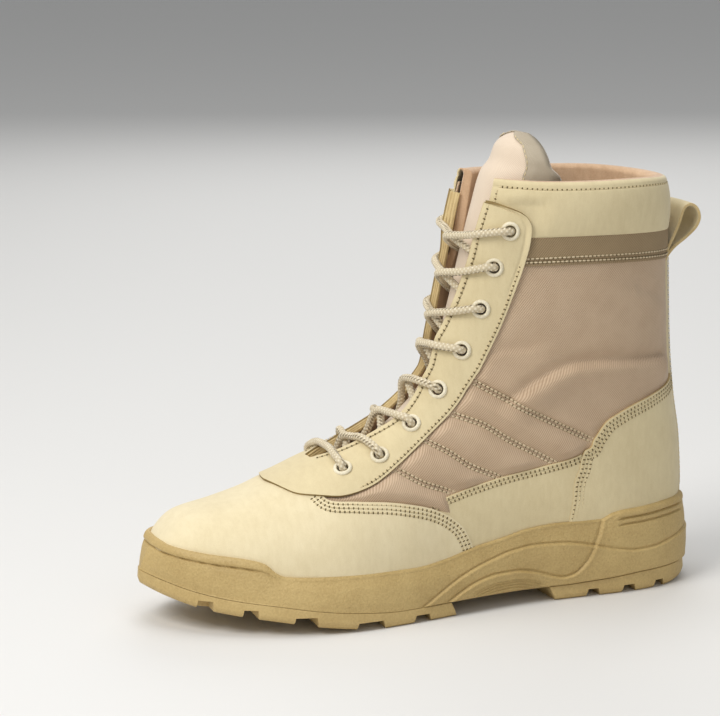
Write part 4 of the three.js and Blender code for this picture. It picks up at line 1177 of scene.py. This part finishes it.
def sampled(table):
    rows, cols = table.shape[:2]

    def at(a, b):
        r, c = np.clip(a, 0, 1) * (rows - 1), np.clip(b, 0, 1) * (cols - 1)
        i, j = np.minimum(r.astype(int), rows - 2), np.minimum(c.astype(int), cols - 2)
        fr, fc = (r - i)[:, None], (c - j)[:, None]
        return mix(mix(table[i, j], table[i, j + 1], fc), mix(table[i + 1, j], table[i + 1, j + 1], fc), fr)

    return at


tongueFace, tongueBack = sampled(tongueTable(0.0)), sampled(tongueTable(tongue["thickness"]))


def placeTongue(a, b):  # round the tongue: the face, then the back
    front = b < 0.5
    across = np.where(front, b * 2, 2 - b * 2)
    face, back = tongueFace(a, across), tongueBack(a, across)
    edge = np.minimum(across, 1 - across)
    soft = np.sqrt(np.clip(edge / 0.05, 0, 1))[:, None] * 0.5 + 0.5
    middle = (face + back) / 2
    points = np.where(front[:, None], mix(middle, face, soft), mix(middle, back, soft))
    puffs = 0.5 * np.sin(a * np.pi * 9) * np.sin(np.pi * across)
    lean = unit(face - back, 1e-6)
    swell = np.where(front, 1, -1) * (puffs * 0.4 + 0.5 * np.sin(np.pi * across)) * 0.6
    return points + lean * swell[:, None]


tonguePad = newObject("tongue_pad", gridMesh("tongue_pad", 200, 120, placeTongue, closeRound=True),
                      [tongueCloth])
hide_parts("tongue")


def placeBinding(a, b):  # a folded tape along the tongue's edge, over the top and down the other side
    along = np.abs(a * 2 - 1)
    wing = np.where(a < 0.5, 0.0, 1.0)
    row = mix(1.0, tongue["bindingFrom"], along)
    fold = np.cos(b * np.pi)
    across = wing + (1 - wing * 2) * np.interp(row, *tongue["bindingWidth"]) * np.abs(fold)
    face, back = tongueFace(row, across), tongueBack(row, across)
    lean = unit(face - back, 1e-6)
    points = np.where((fold > 0)[:, None], face, back)
    turned = smoothStep(0.35, 0.0, np.abs(fold))[:, None]
    points = mix(points, (face + back) / 2, turned * 0.5)
    outward = tongueFace(row, wing) - tongueFace(row, np.full(len(row), 0.5))
    outward[:, 2] += 6 * smoothStep(0.9, 1.0, row)
    outward = unit(outward, 1e-6)
    return points + lean * (np.sign(fold) * (1 - turned[:, 0]) * 0.9)[:, None] + outward * turned * 0.8


binding = newObject("tongue_binding", gridMesh("tongue_binding", 300, 24, placeBinding), [bindingCloth])
thicken(binding, 0.5, edge=0, rim=0, offset=0)
for wing in (0, 1):
    rows = np.linspace(0.7, 0.985, 90)
    inset = np.interp(rows, *tongue["bindingWidth"]) * 0.82
    across = inset if wing == 0 else 1 - inset
    face, back = tongueFace(rows, across), tongueBack(rows, across)
    lean = unit(face - back)
    sew("tongue", face + lean * 1.5, lean, pitch=3.0, hole=False)
print("tongue made")


# eyelets and the lace through them
eyeletShape = {"bore": 3.05, "rim": 5.1, "barrel": 3.7, "proud": 1.15}


def eyeletRing(name, centre, normal, lift):
    e = eyeletShape
    profile = [(e["bore"], -4.0), (e["bore"], 0.55), (e["bore"] + 0.25, 0.95),
               (e["bore"] + 0.75, e["proud"]), (e["rim"] - 0.75, 0.95), (e["rim"] - 0.2, 0.55),
               (e["rim"], 0.05),
               (e["rim"] - 0.2, -0.1), (e["barrel"], -0.1), (e["barrel"], -4.0)]
    bm = bmesh.new()
    verts = [bm.verts.new((r, 0, h)) for r, h in profile]
    edges = [bm.edges.new((verts[i], verts[(i + 1) % len(verts)])) for i in range(len(verts))]
    bmesh.ops.spin(bm, geom=verts + edges, cent=(0, 0, 0), axis=(0, 0, 1), dvec=(0, 0, 0), angle=math.tau,
                   steps=36, use_merge=True, use_duplicate=False)
    bmesh.ops.remove_doubles(bm, verts=bm.verts, dist=0.01)
    bmesh.ops.recalc_face_normals(bm, faces=bm.faces)
    turn = Vector(normal).to_track_quat("Z", "Y").to_matrix().to_4x4()
    bmesh.ops.transform(bm, matrix=Matrix.Translation(Vector((centre + normal * lift) * mm)) @ turn
                        @ Matrix.Scale(mm, 4), verts=bm.verts)
    return newObject(name, meshFrom(bm, name), [eyeletPaint])


for row, side, u, t, centre, normal in eyelets:
    which = "outer" if side > 0 else "inner"
    ring = eyeletRing(f"eyelet_ring_{which}_{row + 1}", centre, normal, float(stayLift(np.float64(u))) + 0.35)
    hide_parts(f"eyelet_{which}_{row + 1}")

lace = {"radius": 2.0, "braids": 8, "braidStep": 2.3}
eyeletAt = {(row, side): (u, t, centre, normal) for row, side, u, t, centre, normal in eyelets}


def acrossAt(u, offset, height):  # a point over the skin at a signed distance from the mid line
    u = np.float64(u)
    side = 1 if offset >= 0 else -1
    t = turnOf(u, side, abs(offset))
    return lifted(np.atleast_1d(u), side, np.atleast_1d(t), np.atleast_1d(float(height)))[0]


def strandPoints(row, side, lift):  # from its own eyelet, over its flap's edge, down and under the other flap
    u, out, inn = eyeletRows[row]
    below, belowOut, belowIn = eyeletRows[row - 1]
    start, far = (out, belowIn) if side > 0 else (inn, belowOut)
    own = float((throatOutAt if side > 0 else throatInAt)(u))
    farU = mix(u, below, 0.72)
    farEdge = float((throatInAt if side > 0 else throatOutAt)(farU))
    middle = float(throatOutAt(u) - throatInAt(u)) / 2
    base = float(stayLift(np.float64(u)))
    centre, normal = eyeletAt[row, side][2:]
    return [
        centre - normal * 5.5, centre - normal * 1.5, centre + normal * (base + 0.8),
        acrossAt(mix(u, below, 0.015), side * (start - 1.6), base + 2.9),
        acrossAt(mix(u, below, 0.1), side * mix(start, own, 0.5), base + 2.55),
        acrossAt(mix(u, below, 0.2), side * (own + 0.8), base + 1.9),
        acrossAt(mix(u, below, 0.31), side * (own - 5.0), 1.6 if lift > 0 else 0.0),
        acrossAt(mix(u, below, 0.46), middle, lift),
        acrossAt(farU, -side * (farEdge - 2.5), -5.2),
        acrossAt(mix(u, below, 0.82), -side * (farEdge + 3.5), -6.4),
        acrossAt(mix(u, below, 0.95), -side * mix(farEdge, far, 0.8), -6.9),
    ]


def lacePath():
    half = {}
    for first in (1, -1):
        points, side = [], first
        for row in range(7, 0, -1):
            points += strandPoints(row, side, 1.0 if side > 0 else -2.6)
            side = -side
        half[side] = points
    barU, barOut, barIn = eyeletRows[0]
    base = float(stayLift(np.float64(barU)))
    bar = [eyeletAt[0, -1][2] - eyeletAt[0, -1][3] * 4.5, eyeletAt[0, -1][2] + eyeletAt[0, -1][3]
           * (base + 0.8)]
    barRun = [(-barIn + 2.0, 2.9, 0), (-barIn + 8, 2.5, 0.0), (-9, 1.9, 0.02), (0, 1.3, 0.03),
              (9, 1.9, 0.02), (barOut - 8, 2.5, 0.0), (barOut - 2.0, 2.9, 0)]
    bar += [acrossAt(barU + shift, y, base + h) for y, h, shift in barRun]
    bar += [eyeletAt[0, 1][2] + eyeletAt[0, 1][3] * (base + 0.8), eyeletAt[0, 1][2] - eyeletAt[0, 1][3] * 4.5]
    return half[-1] + bar + half[1][::-1]


laceRun = chain(lacePath(), 2600)
laceLength = np.linalg.norm(np.diff(laceRun, axis=0), axis=1).sum()


def carriedFrames(run):  # a frame carried along a run without twisting
    tangents = np.gradient(run, axis=0)
    tangents /= np.linalg.norm(tangents, axis=1, keepdims=True)
    normals = np.zeros_like(run)
    normal = np.cross(tangents[0], [0, 0, 1.0])
    for i, tangent in enumerate(tangents):
        normal = normal - tangent * normal.dot(tangent)
        normal /= np.linalg.norm(normal)
        normals[i] = normal
    return tangents, normals, np.cross(tangents, normals)


def cordMesh(name, run, radius, rounds=14):
    _, across, up = carriedFrames(run)
    total = np.linalg.norm(np.diff(run, axis=0), axis=1).sum()
    look = [interpolated(rows) for rows in (run, across, up)]

    def place(a, b):
        centre, x, y = (f(a) for f in look)
        angle = b * math.tau
        # a raised braid
        twist = 0.055 * (np.sin(a * total * 2.3 + angle * 3) + np.sin(-a * total * 2.3 + angle * 3))
        end = np.sqrt(np.clip(np.minimum(a, 1 - a) / 0.001, 0, 1))
        size = (radius * (1 + twist) * np.maximum(end, 0.05))[:, None]
        return centre + x * np.cos(angle)[:, None] * size + y * np.sin(angle)[:, None] * size

    return gridMesh(name, len(run) - 1, rounds, place, closeRound=True)


def braidFinish():
    material = bpy.data.materials.new("braided_lace")
    material.use_nodes = True
    tree = material.node_tree
    shader = tree.nodes["Principled BSDF"]
    shader.inputs["Roughness"].default_value = 0.82
    shader.inputs["Sheen Weight"].default_value = 0.2
    uv = put(tree, "ShaderNodeUVMap", uv_map="UVMap").outputs[0]
    split = put(tree, "ShaderNodeSeparateXYZ", [(0, uv)])

    def strand(sign):
        run = calc(tree, "MULTIPLY", split.outputs[0], float(laceLength / lace["braidStep"]))
        turn = calc(tree, "MULTIPLY", split.outputs[1], sign * lace["braids"] / 2.0)
        return calc(tree, "PINGPONG", calc(tree, "ADD", run, turn), 0.5)

    one, two = strand(1), strand(-1)
    height = put(tree, "ShaderNodeMapRange", [(0, calc(tree, "MULTIPLY", one, two))], in_1=0.0, in_2=0.2)
    spots = None
    for line in (0.18, 0.68):  # two lines of grey flecks along the cord
        away = calc(tree, "ABSOLUTE", calc(tree, "SUBTRACT", split.outputs[1], line))
        near, dash = calc(tree, "LESS_THAN", away, 0.055), calc(tree, "LESS_THAN", one, 0.26)
        mark = calc(tree, "MULTIPLY", near, dash)
        spots = calc(tree, "MAXIMUM", mark, spots) if spots else mark
    where = put(tree, "ShaderNodeTexCoord").outputs["Object"]
    cloud = put(tree, "ShaderNodeTexNoise", [(0, where)], in_2=500.0, in_3=2.0)
    cream = put(tree, "ShaderNodeMix", [(0, cloud.outputs[0])], data_type="RGBA", in_6=tone(222, 210, 182),
                in_7=tone(243, 234, 212))
    shade = put(tree, "ShaderNodeMix", [(0, height.outputs[0]), (7, cream.outputs[2])], data_type="RGBA",
                in_6=tone(196, 180, 148))
    final = put(tree, "ShaderNodeMix", [(0, spots), (6, shade.outputs[2])], data_type="RGBA",
                in_7=tone(138, 124, 98))
    tree.links.new(final.outputs[2], shader.inputs["Base Color"])
    bump = put(tree, "ShaderNodeBump", in_0=0.7, in_1=0.0004)
    tree.links.new(height.outputs[0], bump.inputs["Height"])
    tree.links.new(bump.outputs[0], shader.inputs["Normal"])
    return material


laceCord = newObject("lace", cordMesh("lace", laceRun, lace["radius"]), [braidFinish()])
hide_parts("lace_bar", *[f"lace_crossing_{i}" for i in range(2, 9)])
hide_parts("upper")
print("lace made, %.0f mm long" % laceLength)


# sole
sole = {
    "outline": [(-36, 0, 0), (-35, 9, -9), (-31, 19, -19), (-22, 28.5, -29), (-8, 35, -36), (10, 38, -39),
                (40, 38, -38), (75, 38.5, -34), (105, 43, -34), (135, 49, -39), (165, 53, -47),
                (190, 52, -51),
                (215, 44, -51), (238, 31, -46), (254, 16, -37), (264, 0, -25), (268, -12, -12)],
    "underside": [(-36, 3), (-25, 1), (-15, 0), (160, 0), (177, 2), (195, 4.6), (209, 7), (233, 10.6),
                  (245, 12.6), (260, 16.9), (268, 20)],
    "parting": [(-36, 11), (0, 10.5), (25, 8.8), (52, 7.9), (144, 7.9), (168, 9.7), (191, 12.7),
                (211, 15.9), (233, 18.9), (250, 22.4), (261, 25.8), (268, 28)],
    "rim": [(-36, 45.3), (12, 45), (20, 44), (27, 41.3), (49, 41.5), (70, 40), (82, 37.4), (101, 34),
            (119, 29.8), (136, 28), (176, 28.2), (206, 29.6), (210, 31.5),
            (215, 36.2), (221, 38.3), (243, 41.5), (261, 44.5), (268, 46)],
    "bulge": [(0, 0), (0.05, 0.2), (0.3, 1.2), (0.6, 1.6), (0.88, 0.7), (1, 0)],
    "upperLine": [(138, 5), (133, 7.9), (120, 15.2), (110, 20.2), (99, 24.5), (89, 27.4), (80, 29.8),
                  (65, 31.5), (49, 31), (33, 28.3), (17, 24.6), (6, 23.0), (-4, 23.2), (-15, 24.7),
                  (-28, 27), (-45, 30)],
    "lowerLine": [(126, 3), (120, 7.2), (108, 13.6), (99, 17.0), (88, 18.9), (78, 19.1), (66, 17.2),
                  (57, 14.2), (49, 12.4), (43, 13.6), (36, 19.2), (30.4, 28.9), (27, 37), (25, 46)],
    "rimWall": 1.9, "gap": 0.3, "lugDepth": 4.2,
    "forefootGaps": [(132, 141), (159, 174), (195, 207), (224, 232), (245, 253)],
    "heelGaps": [(-9, -3), (9.5, 17), (31, 38)],
    "blockGaps": [(124, 127), (182, 185), (214, 217), (238, 241)],
}
undersideAt, partingAt, rimAt, bulgeAt = (smoothCurve(sole[k]) for k in ("underside", "parting", "rim",
        "bulge"))


def solePath(side, count):
    return chain([(x, out if side > 0 else inn) for x, out, inn in reversed(sole["outline"])], count)


def rimPath(side, count):
    us = np.linspace(1.5, 15.2, 400)
    low, high = np.zeros(400), np.where(us < 5, 1.0, 0.75)

    def over(t):
        p = skin(us, side, t)
        return p[:, 2] - rimAt(p[:, 0])

    kept = (over(low) < 0) & (over(high) > 0)
    for _ in range(30):
        mid = (low + high) / 2
        under = over(mid) < 0
        low, high = np.where(under, mid, low), np.where(under, high, mid)
    points = skin(us, side, (low + high) / 2)[kept][:, :2]
    tip, heel = (skin(np.atleast_1d(u), side, np.atleast_1d(t))[:, :2] for u,
                 t in ((1.93, 1.0), (14.56, 0.0)))
    points = np.concatenate([tip, points[points[:, 0] < tip[0, 0] - 0.2], heel])
    along = distances(points)
    at = np.linspace(0, along[-1], count)
    return np.stack([np.interp(at, along, points[:, c]) for c in (0, 1)], 1)


def ringTable(path, count=420):  # points and outward directions on both sides, toe to heel
    sides = [path(1, count), path(-1, count)]
    ring = np.concatenate([sides[0], sides[1][::-1][1:-1]])
    ahead = np.roll(ring, -1, 0) - np.roll(ring, 1, 0)
    for _ in range(6):
        ahead = (np.roll(ahead, 1, 0) + ahead * 2 + np.roll(ahead, -1, 0)) / 4
    out = np.stack([ahead[:, 1], -ahead[:, 0]], 1)
    out /= np.linalg.norm(out, axis=1, keepdims=True)
    if np.mean(np.sum(out * (ring - [110, 0]), 1)) < 0:
        out = -out
    closed = np.concatenate([ring, ring[:1]]), np.concatenate([out, out[:1]])
    return lambda a: (interpolated(closed[0])(a), interpolated(closed[1])(a))


soleRing, footRing = ringTable(solePath), ringTable(rimPath)


def outlineOf(points, floor=-6):
    run = polyline(points, 120)
    return np.concatenate([run, [(-70, run[-1, 1]), (-70, floor), (run[0, 0] + 2, floor)]])


bandOutline = np.concatenate([polyline(sole["lowerLine"], 140), [(24, 70), (-70, 70), (-70, -6), (128, -6)]])
upperOutline = outlineOf(sole["upperLine"])


def wallRelief(x, z):
    spots = np.stack([x, 0 * x, z], 1)
    band, lower = insideBy(spots, bandOutline), insideBy(spots, upperOutline)
    rim = rimAt(x)
    level = 0.75 * smoothStep(-0.35, 0.55, lower) + 0.95 * smoothStep(-0.35, 0.55, band)
    level -= 0.75 * np.exp(-((lower + 0.55) / 0.5) ** 2) + 0.8 * np.exp(-((band + 0.6) / 0.5) ** 2)
    level += 0.25 * np.exp(-((band - 1.0) / 0.8) ** 2) + 0.15 * np.exp(-((lower - 1.0) / 0.8) ** 2)
    cup = smoothStep(21, 16, x)
    slots = smoothStep(18, 14, x) * smoothStep(-31, -26, x)
    for below in (3.9, 7.2):
        level -= 1.3 * slots * np.exp(-((z - (rim - below)) / 0.55) ** 4)
    level += 0.7 * cup * np.sqrt(np.clip(1 - ((z - (rim - 1.8)) / 1.8) ** 2, 0, 1))
    toe = smoothStep(209, 214, x)
    level += 0.95 * toe * np.sqrt(np.clip(1 - ((z - (rim - 2.0)) / 2.0) ** 2, 0, 1))
    notch = 0.75 + 0.25 * np.sin(x * 0.9)
    level -= 1.1 * smoothStep(218, 222, x) * notch * np.exp(-((z - (rim - 4.6)) / 0.5) ** 4)
    level -= 0.3 * toe * smoothStep(0.3, -0.3, z - (rim - 4.6))
    lip = (1 - cup) * (1 - toe)
    level += 0.35 * lip * np.exp(-((z - (rim - 0.7)) / 0.7) ** 2)
    ribs = smoothStep(58, 64, x) * smoothStep(106, 100, x) * smoothStep(4.0, 4.6, band)
    level += ribs * (-0.7 + 0.4 * np.sin(band * math.tau / 1.5))
    return level


def placeMidsole(a, b):
    (soleLine, soleOut), (foot, footOut) = soleRing(a), footRing(a)
    mirror = soleRing(1 - a)[0]
    partingZ = partingAt(soleLine[:, 0])
    rimXY = foot + footOut * (sole["rimWall"] + sole["gap"])
    rimZ = rimAt(foot[:, 0])
    share = np.clip((b - 0.06) / 0.84, 0, 1)
    xy = mix(soleLine, rimXY, share[:, None]) + soleOut * bulgeAt(share)[:, None]
    z = mix(partingZ, rimZ, share)
    relief = wallRelief(xy[:, 0], z) * smoothStep(0, 0.03, share) * smoothStep(1.0, 0.97, share)
    xy = xy + soleOut * relief[:, None]
    z = z + 0.35 * smoothStep(0.97, 1.0, share)
    under = b < 0.05
    low = soleLine - soleOut * 1.0
    middle = (low + (mirror - soleRing(1 - a)[1] * 1.0)) / 2
    xy = np.where(under[:, None], mix(middle, low, (b / 0.045)[:, None].clip(0, 1)), xy)
    z = np.where(under, partingZ, z)
    inner = b > 0.9
    step = np.clip((b - 0.9) / 0.1, 0, 1)
    inXY = foot + footOut * np.interp(step, [0, 0.4, 0.7, 1], [2.0, 0.4, -2.5, -6.0])[:, None]
    xy = np.where(inner[:, None], inXY, xy)
    z = np.where(inner, rimZ + np.interp(step, [0, 0.2, 0.4, 1], [0.35, 0.3, -0.4, -12.0]), z)
    return np.stack([xy[:, 0], xy[:, 1], z], 1)


midsole = newObject("midsole_shell", gridMesh("midsole_shell", 760, 122, placeMidsole, closeRound=True),
                    [soleRubber])
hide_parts("midsole")


def placeInsole(a, b):  # the foot's bed between the linings, rounded at toe and heel
    u = mix(1.9, 13.1, a)
    inner, outer = (skin(u, side, np.zeros(len(u)), **liningInset) for side in (-1, 1))
    width = outer[:, 1] - inner[:, 1]
    end = np.clip(np.maximum((0.06 - a) / 0.06, (a - 0.93) / 0.07), 0, 1)
    narrow = 0.9 + (width / 2 - 1.2) * (1 - np.sqrt(1 - end ** 2)) * 0.9
    points = mix(inner, outer, mix(narrow / width, 1 - narrow / width, b)[:, None])
    points[:, 2] += 3.2 + 1.2 * np.abs(b * 2 - 1) ** 3 - 0.6 * end
    return points


insolePad = newObject("insole_pad", gridMesh("insole_pad", 150, 60, placeInsole,
                                             facing=lambda centre: Vector((0, 0, 1))), [foam])
thicken(insolePad, 2.6, 0.5)
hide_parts("insole")


def placeTreadBlock(a, b):
    ring, out = soleRing(a)
    mirror, mirrorOut = soleRing(1 - a)
    under, top = undersideAt(ring[:, 0]), partingAt(ring[:, 0]) - 0.25
    shift = np.interp(b, [0.15, 0.2, 0.3, 0.5, 0.85], [-1.6, -1.2, -0.1, 0.6, 0.25])
    xy = ring + out * shift[:, None]
    z = np.interp(b, [0.15, 0.22, 0.45, 0.85], [0, 0.04, 0.3, 1]) * (top - under) + under
    middle = (ring - out * 1.6 + mirror - mirrorOut * 1.6) / 2
    cap = np.where(b < 0.15, b / 0.15, np.where(b > 0.85, (1 - b) / 0.15, 1.0))
    capEdge = ring + out * np.where(b < 0.5, -1.6, 0.25)[:, None]
    xy = np.where((cap < 1)[:, None], mix(middle, capEdge, cap[:, None]), xy)
    z = np.where(b < 0.15, under, np.where(b > 0.85, top, z))
    return np.stack([xy[:, 0], xy[:, 1], z], 1)


def grooveBlock(bm, fromX, toX, fromY, toY, skew):  # a wedge that narrows upwards into the tread
    top = float(undersideAt((fromX + toX) / 2)) + sole["lugDepth"]
    made = bmesh.ops.create_cube(bm, size=1)
    for vert in made["verts"]:
        high, far, right = vert.co.z > 0, vert.co.y > 0, vert.co.x > 0
        inset = 0.6 if high else -2.4
        x = (toX - inset if right else fromX + inset) + (skew if far else 0)
        vert.co = Vector((x, toY if far else fromY, top if high else -6)) * mm


def tread(name, cut, gaps, blocks, reach):
    mesh = gridMesh(name, 420, 20, placeTreadBlock, closeRound=True)
    bm = opened(mesh)
    planeAt, planeNormal = cut
    bmesh.ops.bisect_plane(bm, geom=bm.verts[:] + bm.edges[:] + bm.faces[:], dist=1e-6,
                           plane_co=Vector(planeAt) * mm, plane_no=planeNormal, clear_outer=True)
    bmesh.ops.holes_fill(bm, edges=[e for e in bm.edges if e.is_boundary], sides=0)
    bmesh.ops.recalc_face_normals(bm, faces=bm.faces)
    obj = newObject(name, meshFrom(bm, mesh), [treadRubber], smooth=False)
    bm = bmesh.new()
    for fromX, toX in gaps:
        grooveBlock(bm, fromX, toX, 80, reach, -5)
        grooveBlock(bm, fromX, toX, -80, -reach - 4, -5)
    for fromX, toX in blocks:
        grooveBlock(bm, fromX - 0.5, toX + 0.5, 15, -19, 0)
    bmesh.ops.recalc_face_normals(bm, faces=bm.faces)
    cutter = linked("groove_blocks", meshFrom(bm, "groove_blocks"))
    carve = obj.modifiers.new("grooves", "BOOLEAN")
    carve.object, carve.operation, carve.solver, carve.use_self = cutter, "DIFFERENCE", "EXACT", True
    bpy.context.view_layer.update()
    carved = bpy.data.meshes.new_from_object(obj.evaluated_get(bpy.context.evaluated_depsgraph_get()))
    obj.modifiers.clear()
    obj.data = carved
    carved.polygons.foreach_set("use_smooth", [True] * len(carved.polygons))
    bpy.data.objects.remove(cutter)
    bevelEdges(obj, "worn_edges", 0.45, 38)
    return obj


forefootTread = tread("forefoot_lugs", ((113, 0, 0), (-1, 0, 0.45)), sole["forefootGaps"],
                      sole["blockGaps"], 16)
heelTread = tread("heel_lugs", ((53, 0, 0), (1, 0, -0.5)), sole["heelGaps"], [], 14)
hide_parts("forefoot_tread")
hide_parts("heel_tread")
print("sole made")


# camera, light and floor
cameraView = {"azimuth": 21.4, "elevation": 11.11, "roll": -0.6, "distance": 1662.69, "lens": 159.1,
              "target": (148.43, 0, 132.0)}


def makeCamera():
    v = cameraView
    a, e, r = (math.radians(v[k]) for k in ("azimuth", "elevation", "roll"))
    back = Vector((math.sin(a) * math.cos(e), math.cos(a) * math.cos(e), math.sin(e)))
    right = Vector((0, 0, 1)).cross(back).normalized()
    up = back.cross(right)
    rolledRight = right * math.cos(r) + up * math.sin(r)
    rolledUp = up * math.cos(r) - right * math.sin(r)
    camera = linked("camera", bpy.data.cameras.new("camera"))
    camera.data.lens, camera.data.sensor_width = v["lens"], 36
    camera.data.clip_start, camera.data.clip_end = 0.05, 50
    place = Matrix.Translation((Vector(v["target"]) + back * v["distance"]) * mm)
    camera.matrix_world = place @ Matrix((rolledRight, rolledUp, back)).transposed().to_4x4()
    bpy.context.scene.camera = camera


def areaLight(name, place, size, watts, colour=(1, 1, 1)):
    light = linked(name, bpy.data.lights.new(name, "AREA"))
    light.data.energy, light.data.size, light.data.color = watts, size, colour
    light.location = place
    light.rotation_euler = (Vector((0.11, 0, 0.1)) - Vector(place)).to_track_quat("-Z", "Y").to_euler()


makeCamera()
areaLight("key", (1.35, 0.5, 1.45), 0.9, 24, (1.0, 0.985, 0.96))
areaLight("fill", (0.2, 1.9, 0.7), 1.8, 7, (0.97, 0.98, 1.0))
areaLight("top", (0.15, -0.2, 1.8), 1.2, 12)
areaLight("back", (-0.6, -1.5, 1.0), 1.2, 7)
world = bpy.data.worlds.new("room")
world.use_nodes = True
world.node_tree.nodes["Background"].inputs[0].default_value = (0.92, 0.94, 0.96, 1)
world.node_tree.nodes["Background"].inputs[1].default_value = 0.36
bpy.context.scene.world = world
bpy.context.scene.view_settings.view_transform = "Standard"

bm = bmesh.new()
bmesh.ops.create_grid(bm, x_segments=2, y_segments=2, size=6)
floor = linked("floor", meshFrom(bm, "floor"))
floorPaint = bpy.data.materials.new("floor_paint")
floorPaint.use_nodes = True
floorShader = floorPaint.node_tree.nodes["Principled BSDF"]
floorShader.inputs["Base Color"].default_value = (0.72, 0.71, 0.69, 1)
floorShader.inputs["Roughness"].default_value = 0.7
floor.data.materials.append(floorPaint)

nodeFinish = {"zip_slider": zipMetal, "zip_pull": zipMetal}
for name, material in nodeFinish.items():
    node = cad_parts[name]
    for slot in node.material_slots:
        slot.material = material

makeStitches()
print("stitches made")
